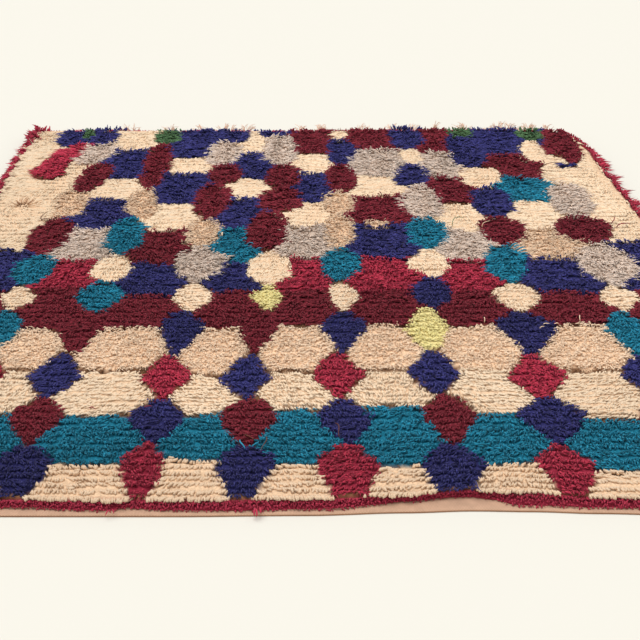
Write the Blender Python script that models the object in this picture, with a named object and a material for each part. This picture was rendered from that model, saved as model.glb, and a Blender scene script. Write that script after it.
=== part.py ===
"""A hand-knotted wool rug that lies flat, with a flat-woven hem at each end.

The rug is one slab: thick lumpy pile over its whole field, a low raised row of knots along
the near hem, a groove between two bands of pile, and short locks at both side rims. A fringe
of warp ends lies on the floor beyond the far hem. Metres, +Z up, near end towards -Y.
"""

from math import cos, pi, sin

import bmesh
import bpy
import numpy as np

# Plan sizes of the cloth
RUG_WIDTH = 1.500
PILE_LENGTH = 1.709
NEAR_HEM_DEPTH = 0.022
FAR_HEM_DEPTH = 0.018

# Heights above the floor
HEM_THICKNESS = 0.0035
HEM_EDGE_THICKNESS = 0.0030
FIRST_ROW_HEIGHT = 0.013
FIRST_ROW_DIP = 0.009
PILE_HEIGHT = 0.0225
RIM_HEIGHT = 0.0115
SHOULDER_HEIGHT = 0.0185
GROOVE_DEPTH = 0.0085
GROOVE_HALF_WIDTH = 0.0085

# Lumps of the pile: size of one lump, how much they rise or sink and wander, how far a lump
# carries on into the next one across, and the long swell under them all
LUMP_ACROSS = 0.0315
LUMP_ALONG = 0.0275
LUMP_RISE = 0.0046
LUMP_WANDER = 0.0050
LUMP_CARRY = 0.35
SWELL_RISE = 0.0012

# The first rows of pile, as distances from the near edge of the pile
FIRST_ROW_FRONT = 0.0015
FIRST_ROW_CREST = 0.0080
FIRST_ROW_BACK = 0.0145
FIELD_FRONT = 0.0210
FIELD_SHOULDER = 0.0360
FAR_SHOULDER = 0.0120

# Rims: how far in from each side the pile rounds over, and how far the foot draws in
RIM_INSETS = (0.0, 0.0070, 0.0200)
FOOT_DRAW_IN = 0.0020

# Side locks, one for each stretch of rim, as shares of that stretch of wall
SIDE_LOCK_REACH = 0.0160
SIDE_LOCK_SWAY = 0.0050
SIDE_LOCK_STEPS = (
    # reach share, width share, height share, drop in metres
    (0.00, 0.56, 0.74, 0.0000),
    (0.50, 0.44, 0.56, 0.0012),
    (1.00, 0.18, 0.26, 0.0028),
)

# Far fringe
FRINGE_GAP = 0.0003
FRINGE_STRIP_DEPTH = 0.0050
FRINGE_STRIP_HEIGHT = 0.0030
FRINGE_LOCKS = 80
FRINGE_LOCK_SHARE = 0.42
FRINGE_SHORTEST = 0.024
FRINGE_UNEVEN = 0.006
FRINGE_TIP_GAP = 0.0050
FRINGE_END_MARGIN = 0.012
FRINGE_LOCK_STEPS = (
    # length share, width share, height share
    (0.45, 0.85, 0.85),
    (0.80, 0.55, 0.60),
    (1.00, 0.25, 0.40),
)

# Each side edge wanders: share of the pile's length from the near end, outward mm at each side
SIDE_OUTLINE = (
    # place, left, right
    (0.00, 2, -4),
    (0.12, -3, 0),
    (0.26, 1, 4),
    (0.40, 4, 9),
    (0.53, 2, 14),
    (0.62, -2, 9),
    (0.70, 2, -3),
    (0.77, -2, -14),
    (0.83, -4, -28),
    (0.90, -7, -33),
    (0.95, -3, -48),
    (0.98, 1, -62),
    (1.00, -6, -92),
)

# The near end draws in at one place: share of the width from the left, inward mm
NEAR_OUTLINE = (
    # place, hem edge, pile edge
    (0.00, 0, 0),
    (0.36, 0, -3),
    (0.50, 3, 1),
    (0.60, 10, 12),
    (0.67, 15, 24),
    (0.73, 13, 20),
    (0.80, 8, 7),
    (0.90, 2, 0),
    (1.00, 0, 0),
)
NEAR_OUTLINE_FADE = 0.20

# The far end of the cloth: share of the width from the left, outward mm
FAR_OUTLINE = (
    # place, hem edge
    (0.00, -6),
    (0.10, 3),
    (0.24, -5),
    (0.36, 0),
    (0.44, -4),
    (0.60, 4),
    (0.75, 5),
    (0.90, 9),
    (1.00, -4),
)
FAR_OUTLINE_FADE = 0.15

# Bands that run across the field: distance of each from the near edge of the pile. The groove
# between two bands breaks off where a lozenge crosses it, at these shares of the width.
GROOVE_PLACE = 0.400
GROOVE_BREAKS = (0.085, 0.19, 0.32, 0.425, 0.54, 0.65, 0.77, 0.90)
GROOVE_BREAK_HALF = 0.022
GROOVE_BREAK_EASE = 0.012
LONG_PILE_BAND = (0.415, 0.570)
LONG_PILE_EXTRA = 0.0018

# Groups of longer warp ends: share of the width from the left, spread, extra length in mm
FRINGE_GROUPS = (
    # place, spread, extra
    (0.17, 0.04, 10),
    (0.36, 0.05, 18),
    (0.48, 0.03, 14),
    (0.63, 0.04, 24),
    (0.71, 0.02, 12),
    (0.80, 0.03, 28),
    (0.92, 0.04, 26),
)

PILE_COLOUR = (0.86, 0.74, 0.58, 1.0)
FRINGE_COLOUR = (0.62, 0.42, 0.31, 1.0)
WOOL_ROUGHNESS = 0.95
SEED = 41


def eased(table, column, places):
    """Read one column of a table at each place, easing from row to row."""
    stops = np.array([row[0] for row in table])
    values = np.array([row[column] for row in table]) / 1000.0
    places = np.clip(places, stops[0], stops[-1])
    low = np.clip(np.searchsorted(stops, places, side="right") - 1, 0, len(stops) - 2)
    share = (places - stops[low]) / (stops[low + 1] - stops[low])
    share = share * share * (3.0 - 2.0 * share)
    return values[low] + (values[low + 1] - values[low]) * share


def wool(name, colour):
    """Plain wool in one colour."""
    material = bpy.data.materials.new(name)
    material.use_nodes = True
    shader = material.node_tree.nodes["Principled BSDF"]
    shader.inputs["Base Color"].default_value = colour
    shader.inputs["Roughness"].default_value = WOOL_ROUGHNESS
    shader.inputs["Metallic"].default_value = 0.0
    return material


def add_object(name, bm, material):
    """Turn a bmesh into a named object with one material."""
    bmesh.ops.recalc_face_normals(bm, faces=bm.faces)
    mesh = bpy.data.meshes.new(name)
    bm.to_mesh(mesh)
    bm.free()
    mesh.shade_smooth()
    mesh.set_sharp_from_angle(angle=pi / 4)
    mesh.materials.append(material)
    obj = bpy.data.objects.new(name, mesh)
    bpy.context.scene.collection.objects.link(obj)
    return obj


def column_places():
    """Distances across the rug from its left edge, as shares of the width."""
    left = np.array(RIM_INSETS) / RUG_WIDTH
    count = round((RUG_WIDTH - 2 * RIM_INSETS[-1]) / LUMP_ACROSS)
    middle = np.linspace(left[-1], 1.0 - left[-1], count + 1)[1:-1]
    return np.concatenate([left, middle, 1.0 - left[::-1]])


def row_places():
    """Distances along the rug from the near edge of the pile, negative on the near hem."""
    first = [
        -NEAR_HEM_DEPTH,
        0.0,
        FIRST_ROW_FRONT,
        FIRST_ROW_CREST,
        FIRST_ROW_BACK,
        FIELD_FRONT,
    ]
    start, stop = FIELD_SHOULDER, PILE_LENGTH - FAR_SHOULDER
    count = round((stop - start) / LUMP_ALONG)
    field = np.linspace(start, stop, count + 1)
    nearest = int(np.argmin(np.abs(field - GROOVE_PLACE)))
    groove = GROOVE_PLACE + GROOVE_HALF_WIDTH * np.array([-1.0, 0.0, 1.0])
    field = np.concatenate([field[:nearest], groove, field[nearest + 1:]])
    last = [PILE_LENGTH - 0.002, PILE_LENGTH, PILE_LENGTH + FAR_HEM_DEPTH]
    return np.concatenate([first, field, last])


def plan_position(across, along):
    """Where a point of the cloth lies on the floor, given its place across and along."""
    side_place = np.clip(along / PILE_LENGTH, 0.0, 1.0)
    left = -RUG_WIDTH / 2 - eased(SIDE_OUTLINE, 1, side_place)
    right = RUG_WIDTH / 2 + eased(SIDE_OUTLINE, 2, side_place)
    x = left + (right - left) * across
    hem_pull = eased(NEAR_OUTLINE, 1, across)
    pile_pull = eased(NEAR_OUTLINE, 2, across)
    fade = np.clip(1.0 - along / NEAR_OUTLINE_FADE, 0.0, 1.0)
    near_pull = np.where(along < -NEAR_HEM_DEPTH / 2, hem_pull, pile_pull * fade * fade)
    far_fade = np.clip(1.0 - (PILE_LENGTH - along) / FAR_OUTLINE_FADE, 0.0, 1.0)
    y = along + near_pull + eased(FAR_OUTLINE, 1, across) * far_fade
    return x, y


def pile_height(across, along, lump):
    """Height of the cloth at one grid point; lump is its own rise or sink."""
    if along <= 0.0:
        return HEM_EDGE_THICKNESS if along < -NEAR_HEM_DEPTH / 2 else HEM_THICKNESS
    if along >= PILE_LENGTH:
        return HEM_EDGE_THICKNESS if along > PILE_LENGTH + FAR_HEM_DEPTH / 2 else HEM_THICKNESS
    inset = min(across, 1.0 - across) * RUG_WIDTH
    if inset <= RIM_INSETS[0]:
        top = RIM_HEIGHT
    elif inset <= RIM_INSETS[1] + 1e-6:
        top = SHOULDER_HEIGHT
    else:
        top = PILE_HEIGHT
    if along <= FIRST_ROW_BACK:
        row_top = FIRST_ROW_DIP if along == FIRST_ROW_BACK else FIRST_ROW_HEIGHT
        row_top -= 0.002 if along == FIRST_ROW_FRONT else 0.0
        return min(top, row_top) + 0.25 * lump
    if along <= FIELD_FRONT:
        return min(top, SHOULDER_HEIGHT) + 0.5 * lump
    if along >= PILE_LENGTH - FAR_SHOULDER:
        return min(top, SHOULDER_HEIGHT) + 0.5 * lump
    if LONG_PILE_BAND[0] < along < LONG_PILE_BAND[1]:
        top += LONG_PILE_EXTRA
    if along == GROOVE_PLACE and top > SHOULDER_HEIGHT:
        nearest = min(abs(across - place) for place in GROOVE_BREAKS)
        depth = min(max((nearest - GROOVE_BREAK_HALF) / GROOVE_BREAK_EASE, 0.0), 1.0)
        return top - GROOVE_DEPTH * depth + (1.0 - 0.7 * depth) * lump
    share = 1.0 if inset > RIM_INSETS[1] + 1e-6 else 0.5
    return top + share * lump


def side_lock(bm, face, outward, sway):
    """Grow a tapering lock out of one face of a side wall."""
    corners = [vert.co.copy() for vert in face.verts]
    centre = sum(corners[1:], corners[0].copy()) / len(corners)
    base = list(face.verts)
    bm.faces.remove(face)
    for reach, width, height, drop in SIDE_LOCK_STEPS:
        ring = []
        for corner in corners:
            ring.append(bm.verts.new((
                centre.x + (corner.x - centre.x) * width + outward * reach * SIDE_LOCK_REACH,
                centre.y + (corner.y - centre.y) * width + sway * reach * reach,
                centre.z + (corner.z - centre.z) * height - drop,
            )))
        for k in range(4):
            after = (k + 1) % 4
            bm.faces.new((base[k], base[after], ring[after], ring[k]))
        base = ring
    bm.faces.new(base)


def build_rug(material):
    """The cloth: hems, pile and side locks in one closed slab."""
    rng = np.random.default_rng(SEED)
    across, along = column_places(), row_places()
    columns, rows = len(across), len(along)
    bm = bmesh.new()
    top = []
    for j in range(rows):
        x, y = plan_position(across, np.full(columns, along[j]))
        line = []
        carried = 0.0
        for i in range(columns):
            swell = SWELL_RISE * (sin(7.3 * x[i] + 1.9 * y[i]) + cos(4.1 * y[i] - 2.3 * x[i])) / 2
            carried = LUMP_CARRY * carried + LUMP_RISE * rng.uniform(-1, 1)
            lump = carried + swell
            inner = RIM_INSETS[2] / RUG_WIDTH < across[i] < 1 - RIM_INSETS[2] / RUG_WIDTH
            inner = inner and FIELD_SHOULDER < along[j] < PILE_LENGTH - FAR_SHOULDER
            wander = rng.uniform(-LUMP_WANDER, LUMP_WANDER, 2) * (1 if inner else 0)
            line.append(bm.verts.new((
                x[i] + wander[0],
                y[i] + wander[1] * (0.3 if along[j] == GROOVE_PLACE else 1.0),
                pile_height(across[i], along[j], lump),
            )))
        top.append(line)
    for j in range(rows - 1):
        for i in range(columns - 1):
            bm.faces.new((top[j][i], top[j][i + 1], top[j + 1][i + 1], top[j + 1][i]))

    rim = [(i, 0) for i in range(columns)]
    rim += [(columns - 1, j) for j in range(1, rows)]
    rim += [(i, rows - 1) for i in range(columns - 2, -1, -1)]
    rim += [(0, j) for j in range(rows - 2, 0, -1)]
    foot = []
    for i, j in rim:
        edge = top[j][i].co
        draw = 0.0 if j in (0, rows - 1) else FOOT_DRAW_IN
        side = -1 if i == 0 else 1 if i == columns - 1 else 0
        foot.append(bm.verts.new((edge.x - side * draw, edge.y, 0.0)))
    walls = []
    for k, (i, j) in enumerate(rim):
        after = (k + 1) % len(rim)
        i2, j2 = rim[after]
        face = bm.faces.new((foot[k], foot[after], top[j2][i2], top[j][i]))
        on_side = i == i2 and i in (0, columns - 1)
        middle = (along[j] + along[j2]) / 2
        if on_side and FIELD_SHOULDER < middle < PILE_LENGTH - FAR_SHOULDER:
            walls.append((face, 1 if i else -1))
    bm.faces.new(foot[::-1])
    for face, outward in walls:
        side_lock(bm, face, outward, -SIDE_LOCK_SWAY * rng.uniform(-0.3, 1.0))
    return add_object("rug", bm, material)


def far_hem_edge(across):
    """The far hem's outer edge, as the straight runs between the slab's columns."""
    places = column_places()
    x, y = plan_position(places, np.full(len(places), PILE_LENGTH + FAR_HEM_DEPTH))
    return np.interp(across, places, x), np.interp(across, places, y)


def build_fringe(material):
    """Warp ends beyond the far hem: a narrow strip with tapered locks lying on the floor."""
    rng = np.random.default_rng(SEED + 1)
    margin = FRINGE_END_MARGIN / RUG_WIDTH
    pitch = (1.0 - 2 * margin) / FRINGE_LOCKS
    half = FRINGE_LOCK_SHARE / 2
    stations = [margin]
    for k in range(FRINGE_LOCKS):
        stations += [margin + pitch * (k + 0.5 - half), margin + pitch * (k + 0.5 + half)]
    stations = np.array(stations + [1.0 - margin])
    hem = column_places()
    hem = hem[(hem > stations[0]) & (hem < stations[-1])]
    inner_places = np.union1d(stations, hem)

    bm = bmesh.new()
    x_in, y_in = far_hem_edge(inner_places)
    x_out, y_out = far_hem_edge(stations)
    inner_y = y_in + FRINGE_GAP
    outer_y = y_out + FRINGE_GAP + FRINGE_STRIP_DEPTH
    inner = [[bm.verts.new((x, y, z)) for x, y in zip(x_in, inner_y)]
             for z in (0.0, FRINGE_STRIP_HEIGHT)]
    outer = [[bm.verts.new((x, y, z)) for x, y in zip(x_out, outer_y)]
             for z in (0.0, FRINGE_STRIP_HEIGHT)]
    for k in range(len(inner_places) - 1):
        bm.faces.new((inner[0][k], inner[0][k + 1], inner[1][k + 1], inner[1][k]))
    for level in (0, 1):
        bm.faces.new(inner[level] + outer[level][::-1])
    for k in (0, -1):
        bm.faces.new((inner[0][k], inner[1][k], outer[1][k], outer[0][k]))

    last_tip = -RUG_WIDTH
    for k in range(len(stations) - 1):
        base = [outer[0][k], outer[1][k], outer[1][k + 1], outer[0][k + 1]]
        if k % 2 == 0:
            bm.faces.new(base)
            continue
        place = (stations[k] + stations[k + 1]) / 2
        extra = max(size * np.exp(-((place - spot) / spread) ** 2)
                    for spot, spread, size in FRINGE_GROUPS) / 1000.0
        length = FRINGE_SHORTEST + extra + FRINGE_UNEVEN * rng.uniform(-1, 1)
        root_x = (base[0].co.x + base[3].co.x) / 2
        lean = 0.28 * sin(2 * pi * root_x / 0.37 + 1.0) + 0.10 * rng.uniform(-1, 1)
        tip_x = max(root_x + length * lean, last_tip + FRINGE_TIP_GAP)
        last_tip = tip_x
        corners = [vert.co.copy() for vert in base]
        for reach, width, height in FRINGE_LOCK_STEPS:
            ring = [bm.verts.new((
                root_x + (tip_x - root_x) * reach ** 1.3 + (corner.x - root_x) * width,
                corner.y + length * reach,
                corner.z * height,
            )) for corner in corners]
            for n in range(4):
                after = (n + 1) % 4
                bm.faces.new((base[n], base[after], ring[after], ring[n]))
            base = ring
        bm.faces.new(base)
    return add_object("far_fringe", bm, material)


def centre_on_floor(objects):
    """Shift the meshes so that the whole rug's plan is centred on the origin."""
    points = np.array([vert.co[:] for obj in objects for vert in obj.data.vertices])
    middle = (points.min(axis=0) + points.max(axis=0)) / 2
    for obj in objects:
        for vert in obj.data.vertices:
            vert.co.x -= middle[0]
            vert.co.y -= middle[1]


def main():
    """Clear the scene and build the rug."""
    for obj in list(bpy.data.objects):
        bpy.data.objects.remove(obj, do_unlink=True)
    rug = build_rug(wool("pile_wool", PILE_COLOUR))
    fringe = build_fringe(wool("warp_wool", FRINGE_COLOUR))
    centre_on_floor([rug, fringe])


main()
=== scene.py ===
"""A hand-knotted wool rug with thick pile in lozenge columns, dressed over its plain solids.

Metres, +Z up, near hem towards -Y. The ground cloth is one thin woven sheet. Every yarn end of
the pile is its own tapered strand, joined into one mesh for each yarn. Run as a script.
"""

from math import pi, radians

import bpy
import numpy as np
from bpy.props import FloatProperty, FloatVectorProperty, PointerProperty
from bpy.types import Operator, Panel, PropertyGroup
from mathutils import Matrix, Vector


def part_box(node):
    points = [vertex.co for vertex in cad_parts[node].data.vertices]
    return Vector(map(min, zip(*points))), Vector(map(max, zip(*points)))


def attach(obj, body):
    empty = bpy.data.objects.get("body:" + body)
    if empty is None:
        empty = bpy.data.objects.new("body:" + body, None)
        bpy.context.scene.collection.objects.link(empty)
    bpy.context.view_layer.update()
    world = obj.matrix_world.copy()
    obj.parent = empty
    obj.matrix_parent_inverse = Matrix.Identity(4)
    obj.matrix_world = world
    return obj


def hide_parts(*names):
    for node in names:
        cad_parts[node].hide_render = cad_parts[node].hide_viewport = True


bl_info = {
    "name": "Lozenge Pile Rug",
    "version": (1, 0, 0),
    "blender": (4, 5, 0),
    "location": "3D View > Sidebar > Rug",
    "description": "Knots a thick wool pile rug on its woven ground and lays it on a pale floor",
    "category": "Add Mesh",
}

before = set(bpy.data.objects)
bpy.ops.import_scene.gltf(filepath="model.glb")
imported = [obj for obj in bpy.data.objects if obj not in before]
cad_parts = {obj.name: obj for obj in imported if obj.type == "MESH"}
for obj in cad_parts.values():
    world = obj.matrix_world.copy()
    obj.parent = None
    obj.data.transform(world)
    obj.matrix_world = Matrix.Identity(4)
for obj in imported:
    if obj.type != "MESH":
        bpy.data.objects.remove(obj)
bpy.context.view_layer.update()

# Plan sizes of the cloth, the same as its solids have
RUG_WIDTH = 1.500
PILE_LENGTH = 1.709
NEAR_HEM_DEPTH = 0.022
FAR_HEM_DEPTH = 0.018

# Chart grid: knots across and rows along, as they show on top of the pile
CHART_KNOTS = 128
CHART_ROWS = 116
CHART_ROW_PITCH = 0.014973
CHART_START = 0.0315

# Each side edge wanders: share of the pile's length from the near end, outward mm at each side
SIDE_OUTLINE = (
    # place, left, right
    (0.00, 2, -4),
    (0.12, -3, 0),
    (0.26, 1, 4),
    (0.40, 4, 9),
    (0.53, 2, 14),
    (0.62, -2, 9),
    (0.70, 2, -3),
    (0.77, -2, -14),
    (0.83, -4, -28),
    (0.90, -7, -33),
    (0.95, -3, -48),
    (0.98, 1, -62),
    (1.00, -6, -92),
)

# The near end draws in at one place: share of the width from the left, inward mm
NEAR_OUTLINE = (
    # place, hem edge, pile edge
    (0.00, 0, 0),
    (0.36, 0, -3),
    (0.50, 3, 1),
    (0.60, 10, 12),
    (0.67, 15, 24),
    (0.73, 13, 20),
    (0.80, 8, 7),
    (0.90, 2, 0),
    (1.00, 0, 0),
)
NEAR_OUTLINE_FADE = 0.20

# The near edge of the crimson first row, which hides more or less of the hem: share of the width
# from the left, outward mm
FIRST_ROW_OUTLINE = (
    # place, edge
    (0.00, 0),
    (0.16, -6),
    (0.21, -6),
    (0.26, 1),
    (0.29, 4),
    (0.313, -5),
    (0.34, 1),
    (0.43, 5),
    (0.52, 2),
    (0.57, -2),
    (0.60, -8),
    (0.64, -12),
    (0.665, -11),
    (0.695, -4),
    (0.715, 8),
    (0.74, 9),
    (0.76, 5),
    (0.84, 3),
    (1.00, 0),
)
# Where the first row starts before that edge is added, and where it ends, along the cloth
FIRST_ROW_FRONT, FIRST_ROW_BACK = -0.0080, 0.0090
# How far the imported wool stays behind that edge
BED_SET_BACK = 0.0040

# The far end of the cloth: share of the width from the left, outward mm
FAR_OUTLINE = (
    # place, hem edge
    (0.00, -6),
    (0.10, 3),
    (0.24, -5),
    (0.36, 0),
    (0.44, -4),
    (0.60, 4),
    (0.75, 5),
    (0.90, 9),
    (1.00, -4),
)
FAR_OUTLINE_FADE = 0.15

# Groups of warp ends that stand up behind the far end: share of the width from the left, spread
# as such a share, and height in mm
FRINGE_GROUPS = (
    # place, spread, height
    (0.178, 0.020, 25),
    (0.255, 0.016, 24),
    (0.318, 0.012, 25),
    (0.362, 0.018, 27),
    (0.398, 0.010, 25),
    (0.505, 0.010, 24),
    (0.545, 0.012, 25),
    (0.620, 0.016, 25),
    (0.682, 0.012, 27),
    (0.716, 0.018, 27),
    (0.760, 0.010, 28),
    (0.816, 0.014, 27),
    (0.890, 0.034, 28),
    (0.943, 0.014, 27),
    (0.974, 0.012, 27),
)

# Stray yarns that stand out of the pile or hang over its edge, each listed. Places are in
# knots and rows of the chart, angles from straight towards the near end, and lengths in mm.
STRAY_YARNS = {
    # yarn: (knots, row, heading, length, lift, radius, bow) of each
    "cream": (
        (46.6, 69.4, 14, 30, 9, 1.8, 3), (96.2, 71.6, 150, 30, 11, 0.9, 8),
        (6.2, 81.0, -176, 46, 3, 1.8, 6), (5.8, 81.2, -148, 42, 3, 1.7, 7),
        (6.8, 81.2, 150, 44, 3, 1.8, -7), (5.4, 80.8, -118, 38, 2, 1.7, 6),
        (7.2, 80.8, 116, 40, 2, 1.7, -6), (5.3, 80.1, -92, 32, 2, 1.6, 5),
        (7.3, 80.1, 88, 34, 2, 1.6, -5)),
    "crimson": (
        (56.6, 1.3, 8, 21, 1, 1.9, 2), (57.0, 1.1, -6, 19, 1, 1.7, -2),
        (57.3, 1.3, 14, 15, 1, 1.6, 1), (37.5, 0.9, -8, 14, 1, 1.2, 1),
        (38.0, 1.0, 16, 11, 1, 1.2, -1)),
    "green": ((90.6, 72.4, 164, 34, 12, 0.8, 3), (91.6, 75.2, 40, 24, 8, 0.8, -3)),
    "indigo": ((85.2, 5.2, 34, 46, 4, 0.8, 10),),
    "madder": (
        (31.3, 19.6, 70, 18, 5, 1.0, 5), (39.4, 19.8, 60, 16, 5, 1.0, -4),
        (121.8, 71.8, 110, 36, 8, 1.2, 5), (121.2, 73.2, 140, 26, 8, 1.2, -4)),
    "tan": (
        (108.2, 41.2, -170, 13, 9, 1.0, 2), (92.3, 41.0, 165, 11, 7, 0.9, -2),
        (101.6, 40.0, 96, 16, 6, 0.9, 3), (104.6, 40.3, -70, 15, 6, 0.9, -3),
        (101.0, 39.0, 120, 12, 5, 0.8, 2)),
    "teal": (
        (54.0, 13.0, 8, 40, 5, 1.3, -5), (56.6, 12.6, -14, 26, 4, 1.3, 4),
        (101.5, 62.0, 94, 22, 4, 1.8, 1), (101.6, 62.7, 104, 20, 5, 1.7, -1),
        (101.2, 63.4, 108, 26, 5, 1.8, -1), (100.8, 64.1, 118, 20, 5, 1.7, 1),
        (100.4, 64.6, 126, 23, 5, 1.7, 1), (101.6, 61.2, 84, 19, 3, 1.8, -1),
        (101.4, 60.4, 96, 16, 3, 1.7, 1)),
    "thread": (
        (57.4, 13.9, 4, 62, 5, 0.8, 9), (54.7, 14.1, 14, 34, 6, 0.8, -8),
        (67.3, 16.6, 16, 60, 5, 0.8, 8), (11.4, 74.6, -170, 16, 7, 1.0, 5),
        (11.3, 74.9, 55, 25, 4, 0.9, -6), (11.0, 70.0, 150, 14, 5, 0.9, 6),
        (30.7, 62.4, -12, 44, 3, 0.7, 3), (22.6, 105.4, 140, 30, 4, 0.6, 12),
        (118.0, 96.6, 84, 40, 3, 0.8, 6), (113.4, 98.6, 84, 34, 3, 0.8, -5),
        (107.6, 104.6, 30, 24, 5, 0.7, 5)),
    "weft": (
        (6.0, 81.1, -164, 24, 2, 1.2, 3), (6.5, 81.2, 164, 26, 2, 1.2, -3),
        (5.6, 81.0, -132, 24, 1, 1.1, 4), (7.0, 81.0, 132, 22, 1, 1.1, -4)),
}

# Tufts that stand up along the far end
FAR_TUFTS = {
    # yarn: (middle and spread in knots, ends, height in mm) of each
    "crimson": ((1.4, 2.2, 30, 18),),
    "green": ((31.0, 2.6, 12, 7), (96.8, 2.4, 16, 9), (112.6, 2.2, 14, 9)),
    "indigo": (
        (13.4, 2.2, 14, 9), (17.6, 1.8, 20, 14), (20.2, 0.8, 6, 12), (40.0, 5.0, 22, 7),
        (53.0, 3.0, 12, 7), (83.2, 1.6, 24, 16), (86.6, 1.8, 14, 11), (104.0, 4.0, 20, 8)),
    "madder": ((62.0, 4.0, 20, 8), (76.0, 4.0, 22, 9), (91.5, 2.2, 18, 9), (119.0, 2.8, 20, 9)),
}

# The chart: cells between the lozenge columns, from the left side, as the top row and
# the yarn of each cell, near end first
BETWEEN_CELLS = (
    ((8, "cream"), (18, "teal"), (28, "cream"), (39, "tan"), (50, "madder"), (64, "indigo"),
     (116, "cream")),
    ((8, "cream"), (18, "teal"), (28, "cream"), (39, "tan"), (51, "madder"), (60, "crimson"),
     (71, "grey"), (83, "indigo"), (92, "cream"), (105, "indigo"), (116, "cream")),
    ((8, "cream"), (18, "teal"), (28, "cream"), (39, "tan"), (49, "madder"), (59, "indigo"),
     (71, "madder"), (81, "cream"), (94, "indigo"), (102, "cream"), (116, "indigo")),
    ((9, "cream"), (18, "teal"), (27, "cream"), (39, "tan"), (50, "madder"), (59, "indigo"),
     (71, "teal"), (83, "indigo"), (92, "cream"), (104, "indigo"), (116, "cream")),
    ((8, "cream"), (19, "teal"), (28, "cream"), (40, "tan"), (50, "madder"), (61, "crimson"),
     (72, "grey"), (82, "cream"), (94, "indigo"), (103, "cream"), (116, "madder")),
    ((8, "cream"), (20, "teal"), (28, "cream"), (40, "tan"), (50, "madder"), (61, "crimson"),
     (73, "indigo"), (84, "madder"), (93, "cream"), (105, "grey"), (116, "madder")),
    ((8, "cream"), (18, "teal"), (29, "cream"), (40, "tan"), (50, "madder"), (60, "crimson"),
     (71, "grey"), (81, "cream"), (92, "madder"), (104, "grey"), (116, "madder")),
    ((7, "cream"), (17, "teal"), (28, "cream"), (40, "tan"), (50, "madder"), (61, "indigo"),
     (71, "tan"), (82, "cream"), (92, "teal"), (103, "madder"), (116, "indigo")),
    ((8, "cream"), (18, "teal"), (28, "cream"), (40, "tan"), (50, "madder"), (67, "indigo"),
     (116, "cream")),
)

# Lozenge columns, from the left side: top row, yarn, middle and half width in knots of each
# cell, near end first. Where a cell has no yarn, the cells beside it meet.
LOZENGE_COLUMNS = (
    ((12, "crimson", 12, 3.5), (22, "indigo", 12, 4), (33, "crimson", 12.5, 4),
     (44, "teal", 13, 3.5), (52, "cream", 13.5, 3), (62, "teal", 14, 3.5),
     (75, "madder", 14.5, 4), (91, None, 17, 3), (107, None, 18.5, 3), (116, "indigo", 10, 3.5)),
    ((12, "indigo", 24.5, 4), (22, "madder", 24, 4), (32, "indigo", 24.5, 4),
     (44, "madder", 26, 4), (53, "teal", 27.5, 4), (62, "cream", 28, 3.5), (75, "teal", 28.5, 3.5),
     (87, "tan", 30, 3), (108, "madder", 30.4, 2.6), (115, "green", 31, 3)),
    ((12, "crimson", 41, 3), (22, "indigo", 41.5, 4), (32, "crimson", 41.5, 4),
     (44, "indigo", 42.5, 3.5), (53, "cream", 43.5, 3.5), (64, "grey", 43.5, 4.5),
     (75, "tan", 43, 3), (89.5, "madder", 43.6, 3.5), (97.6, "madder", 45.2, 3.3),
     (109, "grey", 44.5, 3.5), (116, "indigo", 45.5, 3.5)),
    ((12, "indigo", 55, 4), (22, "madder", 55, 4), (32, "indigo", 54, 4), (44, "madder", 55, 3),
     (52, "lime", 56, 3), (63, "cream", 56, 4), (77.7, "madder", 55.2, 3.6),
     (87.2, "madder", 57.2, 4.2), (98, "madder", 57.6, 3.3), (112, "grey", 56.5, 3.5),
     (116, "indigo", 55, 3.5)),
    ((12, "crimson", 69, 4), (22, "indigo", 69, 4), (33, "crimson", 68, 4),
     (44, "indigo", 69, 3.5), (53, "cream", 69.0, 2.8), (64, "teal", 69, 3.5), (76, "tan", 69, 3),
     (86, "tan", 69, 3), (98, "madder", 69.5, 3), (110, "indigo", 70, 3), (115, "cream", 69.5, 2)),
    ((12, "indigo", 83.5, 4.5), (23, "madder", 84, 4), (33, "indigo", 83, 4),
     (45, "lime", 83, 3.9), (55, "indigo", 84.5, 3.5), (64, "cream", 85, 3.5),
     (75, "teal", 85.5, 3.7), (88, "grey", 85.5, 3.5), (98, "indigo", 84.5, 3.5),
     (106, "cream", 85, 2.5), (117, "indigo", 84.5, 3.5)),
    ((12, "crimson", 99, 4), (22, "indigo", 99, 4.5), (32, "crimson", 98.5, 4.5),
     (44, "indigo", 99, 5), (53, "cream", 99, 4), (65, "teal", 98.6, 3.9), (76, "madder", 100, 4),
     (88, "indigo", 99.5, 4), (97, "cream", 98.5, 4.5), (115, "indigo", 97.5, 4)),
    ((12, "indigo", 115, 4), (22, "madder", 115.5, 4), (32, "indigo", 115.5, 4),
     (44, "teal", 115.5, 3.5), (52, "cream", 116.5, 3.5), (66, "grey", 117, 5),
     (76, "madder", 115.5, 5), (89.5, "grey", 115.2, 3.9), (98, "cream", 115, 3.5),
     (117, "madder", 118.5, 3.5)),
)

# Odd cells that fit neither
ODD_CELLS = (
    # bottom row, top row, yarn, middle, half width in knots, knots that it slants by
    (75, 87, "tan", 16, 3, 0),
    (86, 98, "madder", 18, 3.1, 2.4),
    (91.5, 108, "crimson", 10.3, 4.3, 5.6),
    (94, 102, "cream", 14, 2.4, 2),
    (98, 109, "grey", 16.8, 3.3, 2.6),
    (108, 116, "indigo", 16.5, 3, 0),
    (110.5, 116, "green", 13, 1.2, 0),
    (72, 75, "tan", 76, 2, 0),
    (111.5, 116, "green", 97, 3, 0),
    (99, 110, "cream", 112, 3, 0),
    (95, 103, "cream", 115.5, 3.2, -3),
    (110, 116, "green", 112.5, 3, 0),
    (97, 99, "indigo", 118, 2, 0),
)
# How far the ends of lozenges are pinched, near and far
PINCH = (0.18, 0.55)
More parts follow.
